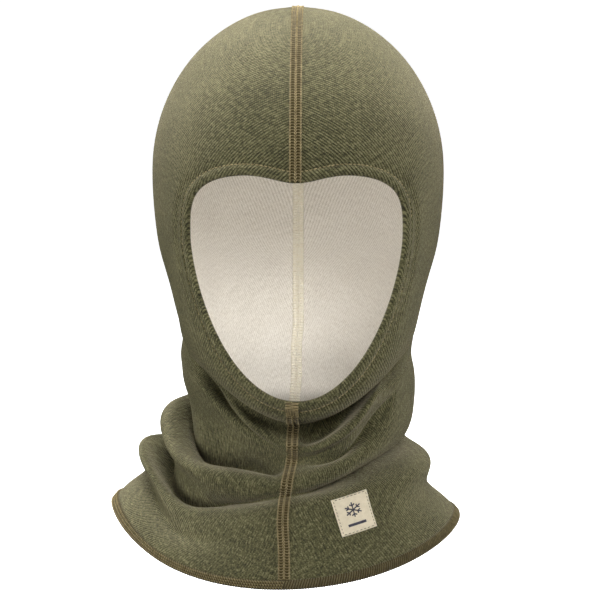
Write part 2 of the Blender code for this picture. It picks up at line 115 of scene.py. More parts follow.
HEAD_MIDDLE = (0, 0, -0.13)
softbox("top_light", (-0.1, 0.3, 1.1), HEAD_MIDDLE, 0.8, 37)
softbox("left_light", (-1.35, -0.6, -0.15), HEAD_MIDDLE, 0.8, 19)
softbox("right_light", (1.4, -0.35, 0.15), HEAD_MIDDLE, 0.8, 14)
softbox("front_light", (0.4, -1.6, 0.55), HEAD_MIDDLE, 0.6, 15)
softbox("inner_light", (0, -0.05, -0.13), (0, 0.1, -0.16), 0.08, 0.066)


FLOOR_REACH = 6
WALL_SIDES = 24
BACKDROP_GREY = (0.85, 0.85, 0.85, 1)


def backdrop(name, vertices, faces):
    """Pale studio surface that the camera sees and that throws no light back on the cloth."""
    mesh = bpy.data.meshes.new(name)
    mesh.from_pydata(vertices, [], faces)
    surface = bpy.data.objects.new(name, mesh)
    scene.collection.objects.link(surface)
    paint = bpy.data.materials.new(name + "_paint")
    paint.use_nodes = True
    shader = paint.node_tree.nodes["Principled BSDF"]
    shader.inputs["Base Color"].default_value = BACKDROP_GREY
    shader.inputs["Roughness"].default_value = 0.9
    shader.inputs["Specular IOR Level"].default_value = 0
    shader.inputs["Emission Color"].default_value = (1, 1, 1, 1)
    shader.inputs["Emission Strength"].default_value = 1
    mesh.materials.append(paint)
    surface.visible_diffuse = False
    surface.visible_glossy = False
    surface.visible_shadow = False


floor_level = cad_box[0][2] - FLOOR_DROP
floor_corners = [(x * FLOOR_REACH, y * FLOOR_REACH, floor_level)
                 for x, y in ((-1, -1), (1, -1), (1, 1), (-1, 1))]
backdrop("floor", floor_corners, [(0, 1, 2, 3)])
wall_angles = np.linspace(0, 2 * math.pi, WALL_SIDES, endpoint=False)
wall_ring = [(math.cos(angle) * FLOOR_REACH, math.sin(angle) * FLOOR_REACH) for angle in wall_angles]
wall_points = [(x, y, z) for z in (floor_level, FLOOR_REACH) for x, y in wall_ring]
wall_next = [(side + 1) % WALL_SIDES for side in range(WALL_SIDES)]
backdrop("studio_wall", wall_points,
         [(side, side + WALL_SIDES, after + WALL_SIDES, after) for side, after in enumerate(wall_next)])

# ---------------------------------------------------------------------------------------------
# Left and right panels. Each is one piece of fine plated wool knit from the crown to the hem,
# olive green outside and undyed inside. Worn, it rounds over the head, turns under at the jaw,
# gathers in soft rolls round the neck and flares over the shoulders.

SEAT_HEIGHT = 331.5
TEMPLE_HEIGHT = 240.0
CROWN_HEIGHT = 333.5
HEAD_HALF_WIDTH = 83.3
FOREHEAD_DEPTH = 93.0
BACK_DEPTH = 98.0
HEAD_LEAN = -0.9
SIDE_TAPER, BACK_TAPER = 144, 164
BROW_SWELL, BROW_SWELL_DROP = 1.5, 40
CLOTH_THICKNESS = 1.7 * MM

DIRECTIONS = np.arange(0, 360, 45)

# From the jaw to the hem, in millimetres: sideways shift of the ring, lean of its front seam in
# degrees, then the radius and the height at the eight directions, which go from the front
# round by the wearer's left and the back.
JAW_TO_HEM = (
    (0, -2.2, (86, 80.5, 70.5, 80, 88, 80, 70.5, 80.5), (124, 148, 170, 172, 172, 172, 170, 148)),
    (0, -2.2, (83, 77.5, 68, 76.5, 81, 76.5, 68, 77.5), (111, 138, 157, 159, 159, 159, 157, 138)),
    (0, -2.2, (75, 72, 67, 74.5, 77, 74.5, 67, 72.5), (105, 131, 150, 150, 150, 150, 150, 132)),
    (0, -2.2, (58, 61, 66, 72.5, 74.5, 72.5, 66.5, 65), (104, 129, 143, 141, 141, 141, 143, 128)),
    (-1, -2.2, (53, 58, 66, 71, 72.5, 71, 66.5, 62), (96, 121, 135, 131, 131, 131, 135, 120)),
    (-1, -2.2, (61, 65, 67.5, 70, 72, 70, 66, 65), (91, 118, 128, 122, 121, 122, 128, 114)),
    (-1, -2.2, (58.5, 64, 68.5, 70, 72, 70, 65, 61), (85, 108, 116, 113, 111, 113, 118, 103)),
    (-2, -2.0, (59, 66, 68.5, 70.5, 72, 70, 64, 59), (79, 96, 102, 102, 101, 104, 108, 89)),
    (-3, -2.0, (68, 69, 68, 75, 78, 76, 72, 69), (75, 88, 94, 95, 93, 98, 102, 81)),
    (-4, -2.0, (72, 69, 67.5, 77, 82, 79, 74.5, 74), (70, 82, 89, 88, 86, 90, 93, 74)),
    (-5, -1.8, (71.5, 66, 68, 74, 79, 76, 69, 71.5), (65, 78, 85, 82, 79, 82, 84, 67)),
    (-6, -1.4, (77, 73, 77, 80, 85, 83, 81, 76), (60, 71, 77, 75, 73, 77, 82, 60)),
    (-7, -1.0, (83, 80, 81.5, 86, 90, 87, 82.5, 82), (51, 61, 67, 65, 63, 67, 74, 52)),
    (-7, -0.6, (88, 85.5, 82, 88, 92, 88.5, 81, 87.5), (41, 50, 59, 56, 52, 58, 66, 42)),
    (-7, -0.4, (94, 93, 92, 94, 95, 95, 91, 94), (28, 38, 50, 44, 37, 46, 58, 35)),
    (-7, -0.4, (98, 98.5, 100.5, 99, 97, 99, 100.5, 98.5), (17, 27, 41, 32, 22, 34, 48.5, 27)),
)


def head_rows():
    """Rings of an egg: half width, front and back depth follow an ellipse in the height. Below
    the temples the sides and the back close by their tapers and the brow swells by a sine."""
    sizes = np.array((HEAD_HALF_WIDTH, FOREHEAD_DEPTH, BACK_DEPTH))
    rows = []
    for polar in np.radians((0, 14, 28, 42, 56, 70, 82)):
        height = TEMPLE_HEIGHT + (CROWN_HEIGHT - TEMPLE_HEIGHT) * math.cos(polar)
        rows.append((height, *(math.sin(polar) * sizes)))
    for height in (232, 214, 197):
        drop = TEMPLE_HEIGHT - height
        side = HEAD_HALF_WIDTH * math.sqrt(1 - (drop / SIDE_TAPER) ** 2)
        back = BACK_DEPTH * math.sqrt(1 - (drop / BACK_TAPER) ** 2)
        rows.append((height, side, FOREHEAD_DEPTH + BROW_SWELL * math.sin(drop / BROW_SWELL_DROP), back))
    angle = np.radians(DIRECTIONS)
    table = []
    for height, side, front, back in rows:
        depth = np.where(np.cos(angle) > 0, front, back)
        radius = side * depth / np.hypot(depth * np.sin(angle), side * np.cos(angle)).clip(1e-9)
        table.append((0.0, HEAD_LEAN, radius, np.full(8, height)))
    return table


ROWS = head_rows() + list(JAW_TO_HEM)
ROW_SHIFT = np.array([row[0] for row in ROWS]) * MM
ROW_LEAN = np.array([row[1] for row in ROWS])
ROW_RADIUS = np.array([row[2] for row in ROWS]) * MM
ROW_HEIGHT = (np.array([row[3] for row in ROWS]) - SEAT_HEIGHT) * MM
ROW_STEPS = np.hypot(np.diff(ROW_RADIUS, axis=0), np.diff(ROW_HEIGHT, axis=0)).mean(axis=1)
ROW_RUN = np.concatenate([[0], np.cumsum(ROW_STEPS)])
JAW_RUN = ROW_RUN[len(ROWS) - len(JAW_TO_HEM)]
HEM_RUN = ROW_RUN[-1]
TEMPLE_RUN = np.interp(-(TEMPLE_HEIGHT - SEAT_HEIGHT) * MM, -ROW_HEIGHT[:, 2], ROW_RUN)


def curve_weights(knots, places):
    """Natural cubic spline as a matrix: its product with the values at the knots gives the
    curve at the places. Between knots: a line plus (w cubed - w) times the bend at each end."""
    count, step = len(knots), np.diff(knots)
    bend, pull = np.eye(count), np.zeros((count, count))
    for i in range(1, count - 1):
        bend[i, i - 1:i + 2] = step[i - 1], 2 * (step[i - 1] + step[i]), step[i]
        pull[i, i - 1:i + 2] = 6 / step[i - 1], -6 / step[i - 1] - 6 / step[i], 6 / step[i]
    curvature = np.linalg.solve(bend, pull)
    span = np.clip(np.searchsorted(knots, places, side="right") - 1, 0, count - 2)
    after = ((places - knots[span]) / step[span])[:, None]
    before, area, unit = 1 - after, (step[span] ** 2 / 6)[:, None], np.eye(count)
    bent = (before ** 3 - before) * curvature[span] + (after ** 3 - after) * curvature[span + 1]
    return before * unit[span] + after * unit[span + 1] + area * bent


def ring_weights(turns):
    """The same for a closed ring through the eight directions, at turns in degrees."""
    knots = np.concatenate([DIRECTIONS - 360, DIRECTIONS, DIRECTIONS + 360]).astype(float)
    return curve_weights(knots, np.mod(turns + 180, 360) - 180).reshape(len(turns), 3, 8).sum(axis=1)


def smooth_cloth(turns, runs):
    """The cloth before it creases, at matching turns (degrees from the front) and runs (metres
    from the crown): radius and height are splines of both, x = shift + r sin t, y = -r cos t."""
    shape = np.shape(turns)
    turn, run = np.ravel(turns).astype(float), np.ravel(runs).astype(float)
    along = curve_weights(ROW_RUN, run)
    turn = turn + (along @ ROW_LEAN) * (1 + np.cos(np.radians(turn))) / 2
    around = ring_weights(turn)
    radius = (around * (along @ ROW_RADIUS)).sum(axis=1)
    height = (around * (along @ ROW_HEIGHT)).sum(axis=1)
    angle = np.radians(turn)
    points = [along @ ROW_SHIFT + radius * np.sin(angle), -radius * np.cos(angle), height]
    return np.stack(points, axis=1).reshape(*shape, 3)


def facing(surface, turns, runs, reach=0.3):
    """Unit normal of a surface: cross product of steps down (mm) and round (degrees) the cloth."""
    turns, runs = np.broadcast_arrays(turns, runs)
    runs = np.maximum(runs, 1 * MM)
    down = surface(turns, runs + reach * MM) - surface(turns, runs - reach * MM)
    across = surface(turns + reach, runs) - surface(turns - reach, runs)
    normal = np.cross(down, across)
    return normal / np.linalg.norm(normal, axis=-1, keepdims=True)


# Creases of the neck: height (negative where the cloth tucks in), half width and how far the
# cloth above hangs over it, in millimetres, then places along it: turn, run and strength.
CREASES = (
    (-8, 5, 0, ((-74, 226, 0), (-62, 248, 0.6), (-50, 264, 0.95), (-37, 271, 0.85), (-24, 275, 0.65),
                (-12, 276, 0.4), (0, 275, 0))),
    (3, 5, 0, ((-66, 230, 0), (-54, 250, 1), (-42, 262, 1), (-28, 268, 1), (-14, 270, 0.6),
               (-2, 270, 0))),
    (-20, 4.5, 6, ((-118, 280, 0), (-100, 290, 0.7), (-84, 298, 0.9), (-66, 302, 1), (-46, 299, 1),
                   (-30, 294, 0.9), (-15, 294, 0.5), (-3, 299, 0))),
    (4, 7, 0, ((-120, 294, 0), (-100, 303, 0.3), (-80, 310, 0.5), (-60, 311, 1), (-40, 309, 0.9),
               (-22, 305, 0.7), (-6, 305, 0))),
    (-17, 4.5, 5, ((-122, 312, 0), (-100, 319, 0.8), (-82, 324, 1), (-64, 327, 1), (-48, 326, 1),
                   (-34, 321, 0.9), (-18, 318, 0.6), (0, 317, 0.15), (18, 316, 0.75), (34, 316, 1),
                   (48, 315, 1), (64, 315, 1), (80, 315, 0.85), (98, 312, 0.5), (118, 304, 0))),
    (3, 7, 0, ((-124, 324, 0), (-100, 329, 0.7), (-82, 333, 1), (-64, 336, 0))),
    (-5, 6, 0, ((-14, 344, 0), (-40, 346, 0.6), (-70, 347, 1), (-100, 346, 0))),
    (8, 5, 1, ((60, 262, 0), (51, 267, 0.4), (43, 272, 0.9), (33, 278, 1), (22, 281, 0.8),
               (10, 281, 0.4), (0, 280, 0))),
    (-11, 6.5, 0, ((60, 250, 0), (52, 256, 0.35), (42, 262, 0.6), (30, 266, 0.9), (20, 267, 1),
                   (10, 269, 0.6), (2, 271, 0))),
    (-7, 4, 2, ((60, 280, 0), (48, 286, 0.8), (36, 292, 1), (22, 295, 0.7), (8, 295, 0))),
    (4, 7, 0, ((120, 320, 0), (98, 329, 0.6), (78, 333, 1), (60, 334, 0.7), (42, 332, 0.35),
               (24, 329, 0.15), (8, 328, 0))),
)
CREASE_RADIUS = 75 * MM
CREASE_START = 205 * MM
CREASE_REACH = 9
CREASE_STEPS = 80
SLOPE_REACH = 3 * MM


def creased(turns, runs):
    """Height of the creases and sag of the cloth above them, at each turn and run.

    Across a crease, at d half widths square to it, positive below it, the height falls as
    exp(1 - sqrt(1 + (1.8 d)^2)) and the sag as a bell curve exp(-((d + 0.8) / 0.9)^2), which
    lies above it. Along it, its strength is a curve through the strengths of its places,
    carried on by its slope from the nearest point of that curve."""
    height, sag = np.zeros(np.shape(turns)), np.zeros(np.shape(turns))
    around = np.radians(np.mod(turns + 180, 360) - 180) * CREASE_RADIUS
    for depth, width, overhang, places in CREASES:
        corner = np.array(places, dtype=float) * (math.radians(1) * CREASE_RADIUS, MM, 1)
        line = curve_weights(np.linspace(0, 1, len(corner)), np.linspace(0, 1, CREASE_STEPS)) @ corner
        slope = np.gradient(line, axis=0)
        slope /= np.sign(line[-1, 0] - line[0, 0]) * np.hypot(slope[:, 0], slope[:, 1])[:, None]
        nearest = np.hypot(around[..., None] - line[:, 0], runs[..., None] - line[:, 1]).argmin(axis=-1)
        beside, below = around - line[nearest, 0], runs - line[nearest, 1]
        ahead, down, change = slope[nearest].T
        gain = beside * ahead + below * down
        below = (below * ahead - beside * down) / (width * MM)
        strength = (line[nearest, 2] + change * gain.clip(-SLOPE_REACH, SLOPE_REACH)).clip(0)
        height += depth * MM * strength * np.exp(1 - np.sqrt(1 + (1.8 * below) ** 2))
        sag += overhang * MM * strength * np.exp(-((below + 0.8) / 0.9) ** 2)
    return height, sag


def worn_cloth(turns, runs):
    """Outer face of the worn cloth: the smooth shape, moved along its normal by the height of
    the creases and let down by their sag."""
    turns, runs = (np.array(values, dtype=float) for values in np.broadcast_arrays(turns, runs))
    points = smooth_cloth(turns, runs)
    low = runs > CREASE_START
    if low.any():
        height, sag = creased(turns[low], runs[low])
        out = facing(smooth_cloth, turns[low], runs[low], CREASE_REACH)
        points[low] += height[:, None] * out - sag[:, None] * (0, 0, 1)
    return points


def cloth_normal(turns, runs):
    """Unit normal of the worn cloth."""
    return facing(worn_cloth, turns, runs)


def lifted(turns, runs, lift):
    """Points a lift above the outer face, below it where the lift is negative."""
    return worn_cloth(turns, runs) + np.asarray(lift)[..., None] * cloth_normal(turns, runs)


FLAT_RADIUS = 86 * MM
EASE = 0.12
EASE_DROP = 60 * MM
GRAIN_LEAN = math.radians(26)


def flat_place(turns, runs):
    """Where a point lay on its panel before sewing: across the wales, then along them.

    Over the dome it is a map about the ear, reach = psi R (1 - ease (psi / 90)^2), towards the
    point as seen from the side. Below the temples it is that reach and the run. The wales lean
    forwards as they rise, so the map is turned by the grain's lean."""
    side = np.where(np.mod(turns + 180, 360) >= 180, 1, -1)
    angle = np.radians(turns)
    polar = np.minimum(runs / TEMPLE_RUN, 1) * math.pi / 2
    outward, back = np.sin(polar) * np.abs(np.sin(angle)), -np.sin(polar) * np.cos(angle)
    up = np.cos(polar)
    drop = np.maximum(runs - TEMPLE_RUN, 0)
    ease = EASE * (1 - np.minimum(drop / EASE_DROP, 1))
    psi = np.arccos(outward.clip(-1, 1))
    reach = psi * FLAT_RADIUS * (1 - ease * (psi / (math.pi / 2)) ** 2) / np.hypot(back, up).clip(1e-9)
    right, rise = side * back * reach, up * reach - drop
    return np.stack([right * math.cos(GRAIN_LEAN) + side * rise * math.sin(GRAIN_LEAN),
                     rise * math.cos(GRAIN_LEAN) - side * right * math.sin(GRAIN_LEAN)], axis=-1)


# The face opening: a full superellipse above, with a dip at its middle, and below it sides that
# close to the chin. Its cloth is turned in 7 mm and stitched down.
OPENING_CENTRE = (-0.9 * MM, (207.5 - SEAT_HEIGHT) * MM)
OPENING_HALF_WIDTH = 60 * MM
OPENING_TOP = 36 * MM
OPENING_BOTTOM = 89 * MM
OPENING_DIP, OPENING_DIP_WIDTH = 5 * MM, 18 * MM
TOP_FULLNESS, BOTTOM_FULLNESS = 3.6, 1.6


def opening_outline(steps):
    """Outline seen from the front: x = w cos a, z = h |sin a| to the power 2/n, less a dip of a
    bell curve at the middle of the top, spread evenly along its length."""
    angle = np.linspace(0, 2 * math.pi, 1440)
    side, rise = np.cos(angle), np.sin(angle)
    top = rise >= 0
    x = np.where(top, np.sign(side) * np.abs(side) ** (2 / TOP_FULLNESS), side) * OPENING_HALF_WIDTH
    dip = OPENING_DIP * np.exp(-(x / OPENING_DIP_WIDTH) ** 2)
    z = np.where(top, OPENING_TOP * np.abs(rise) ** (2 / TOP_FULLNESS) - dip,
                 -OPENING_BOTTOM * np.abs(rise) ** (2 / BOTTOM_FULLNESS))
    length = np.concatenate([[0], np.cumsum(np.hypot(np.diff(x), np.diff(z)))])
    places = np.linspace(0, length[-1], steps, endpoint=False)
    return np.stack([np.interp(places, length, x), np.interp(places, length, z)], axis=1) + OPENING_CENTRE


def outward_2d(outline):
    """Unit direction square to a closed outline, pointing away from the opening."""
    along = np.roll(outline, -1, axis=0) - np.roll(outline, 1, axis=0)
    along /= np.linalg.norm(along, axis=1, keepdims=True)
    return np.stack([along[:, 1], -along[:, 0]], axis=1)


FRONT_GRID = np.meshgrid(np.linspace(-85, 85, 86), np.linspace(0.3 * JAW_RUN, HEM_RUN, 180), indexing="ij")
FRONT_TURNS, FRONT_RUNS = (values.ravel() for values in FRONT_GRID)
FRONT_PLACES = smooth_cloth(FRONT_TURNS, FRONT_RUNS)[:, [0, 2]]


def find_on_front(outline):
    """Turn and run of the smooth cloth behind each x and z: nearest point of a grid, then Newton."""
    across, up = (outline[:, axis, None] - FRONT_PLACES[:, axis] for axis in (0, 1))
    nearest = (across ** 2 + up ** 2).argmin(axis=1)
    turn, run = FRONT_TURNS[nearest], FRONT_RUNS[nearest]
    for _ in range(6):
        here = smooth_cloth(turn, run)[:, [0, 2]]
        by_turn = (smooth_cloth(turn + 0.1, run)[:, [0, 2]] - here) / 0.1
        by_run = (smooth_cloth(turn, run + 0.1 * MM)[:, [0, 2]] - here) / (0.1 * MM)
        gap = outline - here
        scale = by_turn[:, 0] * by_run[:, 1] - by_turn[:, 1] * by_run[:, 0]
        turn = turn + (gap[:, 0] * by_run[:, 1] - gap[:, 1] * by_run[:, 0]) / scale
        run = run + (gap[:, 1] * by_turn[:, 0] - gap[:, 0] * by_turn[:, 1]) / scale
    return turn, run


EDGE_STEPS = 300
EDGE_OUTLINE = opening_outline(EDGE_STEPS)
EDGE_OUTWARD = outward_2d(EDGE_OUTLINE)


def edge_place(outset):
    """Turn and run of the ring that runs a true distance outside the opening's edge.

    The flat step is the true one divided by how far the cloth leans away from the front."""
    trial = 5 * MM
    inner = smooth_cloth(*find_on_front(EDGE_OUTLINE))
    outer = smooth_cloth(*find_on_front(EDGE_OUTLINE + trial * EDGE_OUTWARD))
    lean = trial / np.linalg.norm(outer - inner, axis=1)
    lean = np.convolve(np.concatenate([lean[-4:], lean, lean[:4]]), np.ones(9) / 9, mode="valid")
    return find_on_front(EDGE_OUTLINE + outset * lean[:, None] * EDGE_OUTWARD)


def distance_outside(points):
    """Signed distance of x and z from the opening's edge, negative inside it."""
    start, span = EDGE_OUTLINE, np.roll(EDGE_OUTLINE, -1, axis=0) - EDGE_OUTLINE
    offset = points[:, None] - start[None]
    share = ((offset * span).sum(axis=2) / (span ** 2).sum(axis=1)).clip(0, 1)
    gap = np.linalg.norm(offset - share[..., None] * span, axis=2)
    nearest = gap.argmin(axis=1)
    side = (offset[np.arange(len(points)), nearest] * EDGE_OUTWARD[nearest]).sum(axis=1)
    return gap.min(axis=1) * np.sign(side)


def strip_faces(columns, rows, first=0):
    """Quads of a grid of points stored column by column, facing away from the head."""
    i, j = np.meshgrid(np.arange(columns - 1), np.arange(rows - 1), indexing="ij")
    a = (first + i * rows + j).ravel()
    return np.stack([a, a + 1, a + rows + 1, a + rows], axis=1)


def smooth_piece(name, points, faces):
    """Object in the scene with a smooth mesh of points and faces."""
    mesh = bpy.data.meshes.new(name)
    mesh.from_pydata(points.tolist(), [], faces)
    mesh.shade_smooth()
    piece = bpy.data.objects.new(name, mesh)
    scene.collection.objects.link(piece)
    return piece


def cloth_mesh(name, points, faces, flat):
    """Smooth mesh of points and quads, with the flat places as a UV map in metres."""
    used, faces = np.unique(faces, return_inverse=True)
    faces = faces.reshape(-1, 4)
    piece = smooth_piece(name, points[used], faces.tolist())
    piece.data.uv_layers.new(name="flat").data.foreach_set("uv", flat[used][faces.ravel()].ravel())
    return piece


# Profile of the turned edge, as distance outside the opening and lift: flush at the stitch
# line, puffed between the stitches and the edge, rolled round it and flat inside.
EDGE_PROFILE = np.array((
    (7.6, -1.2), (7.0, -1.0), (6.4, -0.75), (5.8, -0.1), (5.0, 0.5), (4.0, 0.85), (3.0, 0.95), (2.0, 0.9),
    (1.2, 0.7), (0.5, 0.3), (0.1, -0.3), (0.0, -1.0), (0.15, -1.8), (0.7, -2.5), (1.6, -2.9), (3.0, -3.1),
    (5.0, -3.1), (7.0, -2.9),
)) * MM
EDGE_RINGS = [edge_place(outset) for outset in EDGE_PROFILE[:, 0]]

# Profile of the folded hem, as distance above its lowest edge and lift.
HEM_PROFILE = np.array((
    (6.4, -0.5), (5.6, 0.0), (4.8, 0.4), (3.6, 0.6), (2.4, 0.6), (1.2, 0.5), (0.4, 0.15), (0.0, -0.6),
    (0.1, -1.5), (0.7, -2.2), (2.0, -2.5), (4.0, -2.5), (6.0, -2.4),
)) * MM

PANEL_COLUMNS, HEAD_POINTS, NECK_POINTS = 151, 90, 130
HEM_JOIN = 5.6 * MM
PANEL_RUNS = np.concatenate([np.linspace(0, JAW_RUN, HEAD_POINTS, endpoint=False),
                             np.linspace(JAW_RUN, HEM_RUN - HEM_JOIN, NECK_POINTS)])
GROOVE_DEPTH, GROOVE_PLACE, GROOVE_HALF_WIDTH = 0.9 * MM, 6.4 * MM, 1.3 * MM
BODY_START = 3.2 * MM
CHIN_FLOOR = (85 - SEAT_HEIGHT) * MM
SEAM_GAP = 0.6 * MM


def panel(name, side):
    """One half of the cloth: the grid outside the opening, its turned edge and its hem."""
    columns = np.linspace(0, 180, PANEL_COLUMNS) - (0 if side > 0 else 180)
    turn, run = np.meshgrid(columns, PANEL_RUNS, indexing="ij")
    body = worn_cloth(turn, run)
    smooth = smooth_cloth(turn, run)
    front = (smooth[..., 1] < 0) & (smooth[..., 2] > CHIN_FLOOR)
    outside = np.full(turn.shape, 1.0)
    outside[front] = distance_outside(smooth[front][:, [0, 2]])
    groove = GROOVE_DEPTH * np.exp(-((outside - GROOVE_PLACE) / GROOVE_HALF_WIDTH) ** 2)
    body -= groove[..., None] * cloth_normal(turn, run)
    faces = strip_faces(PANEL_COLUMNS, len(PANEL_RUNS))
    faces = faces[(outside.ravel()[faces] > BODY_START).all(axis=1)]
    points, flat = [body.reshape(-1, 3)], [flat_place(turn, run).reshape(-1, 2)]
    all_faces, count = [faces], body.shape[0] * body.shape[1]

    seam = np.interp(EDGE_OUTLINE[:, 1], *seam_line())
    keep = np.flatnonzero((EDGE_OUTLINE[:, 0] - seam) * side > SEAM_GAP)
    breaks = np.flatnonzero(np.diff(keep) > 1)
    keep = np.concatenate([keep[breaks[0] + 1:], keep[:breaks[0] + 1]]) if len(breaks) else keep
    edge_turn = np.stack([ring[0][keep] for ring in EDGE_RINGS], axis=1)
    edge_run = np.stack([ring[1][keep] for ring in EDGE_RINGS], axis=1)
    at_seam = np.zeros((1, edge_turn.shape[1]))
    edge_turn = np.concatenate([at_seam, edge_turn, at_seam])
    edge_run = np.concatenate([edge_run[:1], edge_run, edge_run[-1:]])
    lift = np.broadcast_to(EDGE_PROFILE[:, 1], edge_turn.shape)
    points.append(lifted(edge_turn, edge_run, lift).reshape(-1, 3))
    flat.append(flat_place(edge_turn + side * 1e-6, edge_run).reshape(-1, 2))
    all_faces.append(strip_faces(*edge_turn.shape, first=count)[:, ::-1])
    count += edge_turn.size

    hem_turn, hem_offset = np.meshgrid(turn[:, 0], HEM_PROFILE[:, 0], indexing="ij")
    hem_lift = np.broadcast_to(HEM_PROFILE[:, 1], hem_turn.shape)
    points.append(lifted(hem_turn, HEM_RUN - hem_offset, hem_lift).reshape(-1, 3))
    flat.append(flat_place(hem_turn, HEM_RUN - hem_offset).reshape(-1, 2))
    all_faces.append(strip_faces(*hem_turn.shape, first=count))
    piece = cloth_mesh(name, np.concatenate(points), np.concatenate(all_faces), np.concatenate(flat))
    hem_faces = np.arange(len(piece.data.polygons)) >= len(piece.data.polygons) - len(all_faces[-1])
    piece.data.polygons.foreach_set("material_index", 2 * hem_faces.astype(np.int32))
    return piece


def seam_line():
    """Height, rising, and sideways place of the front seam, as two arrays."""
    runs = np.linspace(0.2 * JAW_RUN, JAW_RUN + 25 * MM, 60)
    line = worn_cloth(np.zeros(60), runs)
    order = np.argsort(line[:, 2])
    return line[order, 2], line[order, 0]


def feed(tree, kind, *sockets, **settings):
    """Shader node of a kind; its inputs, in order, take numbers, colours or other outputs."""
    node = tree.nodes.new("ShaderNode" + kind)
    for setting, value in settings.items():
        setattr(node, setting, value)
    for socket, value in zip(node.inputs, sockets):
        if isinstance(value, bpy.types.NodeSocket):
            tree.links.new(value, socket)
        elif value is not None:
            socket.default_value = value
    return node.outputs[0]


def calc(tree, operation, *values):
    """Math node."""
    return feed(tree, "Math", *values, operation=operation)


def blended(tree, share, first, second, mode="MIX"):
    """Colour mix: the share picks from the first colour towards the second."""
    node = tree.nodes.new("ShaderNodeMix")
    node.data_type = "RGBA"
    node.blend_type = mode
    for socket, value in zip((node.inputs[0], node.inputs[6], node.inputs[7]), (share, first, second)):
        if isinstance(value, bpy.types.NodeSocket):
            tree.links.new(value, socket)
        else:
            socket.default_value = value
    return node.outputs[2]


def linear(red, green, blue):
    """Colour given as on a paint card, 0 to 255 in each channel, made linear for the shader."""
    return (*(((share / 255 + 0.055) / 1.055) ** 2.4 for share in (red, green, blue)), 1)


def new_finish(name, roughness, sheen=0.0, sheen_roughness=0.5, sheen_tint=(1, 1, 1, 1)):
    """Material with its uniform values on the shader's own sockets; returns tree and shader."""
    finish = bpy.data.materials.new(name)
    finish.use_nodes = True
    shader = finish.node_tree.nodes["Principled BSDF"]
    shader.inputs["Roughness"].default_value = roughness
    shader.inputs["Specular IOR Level"].default_value = 0.25
    shader.inputs["Sheen Weight"].default_value = sheen
    shader.inputs["Sheen Roughness"].default_value = sheen_roughness
    shader.inputs["Sheen Tint"].default_value = sheen_tint
    return finish, finish.node_tree, shader


def roughen(tree, shader, height, strength, distance):
    """Bump on a shader: a height of 1 stands for the distance."""
    bump = tree.nodes.new("ShaderNodeBump")
    bump.inputs["Strength"].default_value = strength
    bump.inputs["Distance"].default_value = distance
    tree.links.new(height, bump.inputs["Height"])
    tree.links.new(bump.outputs[0], shader.inputs["Normal"])


def flat_coordinates(tree, width, length):
    """Place on the flat panel, counted in wales and courses."""
    uv = tree.nodes.new("ShaderNodeUVMap")
    uv.uv_map = "flat"
    split = tree.nodes.new("ShaderNodeSeparateXYZ")
    tree.links.new(uv.outputs[0], split.inputs[0])
    wales, courses = (calc(tree, "DIVIDE", split.outputs[k], size) for k, size in enumerate((width, length)))
    return uv.outputs[0], wales, courses


WALE = 1.35 * MM
COURSE = 0.9 * MM


def knit_height(tree, wales, courses, beading):
    """Relief of plain knit, 0 to 1: a wale is a rounded rib of stacked Vs.

    Across the wale it follows a half sine; along it the yarn repeats once a course, shifted by
    how far it lies from the wale's middle, which slants the two legs of each V."""
    leg = calc(tree, "PINGPONG", wales, 0.5)
    arch = calc(tree, "SINE", calc(tree, "MULTIPLY", leg, math.pi))
    slant = calc(tree, "MULTIPLY_ADD", leg, 1.6, courses)
    wave = calc(tree, "COSINE", calc(tree, "MULTIPLY", slant, 2 * math.pi))
    beat = calc(tree, "MULTIPLY_ADD", wave, 0.5, 0.5)
    return calc(tree, "MULTIPLY", arch, calc(tree, "MULTIPLY_ADD", beat, beading, 1 - beading))


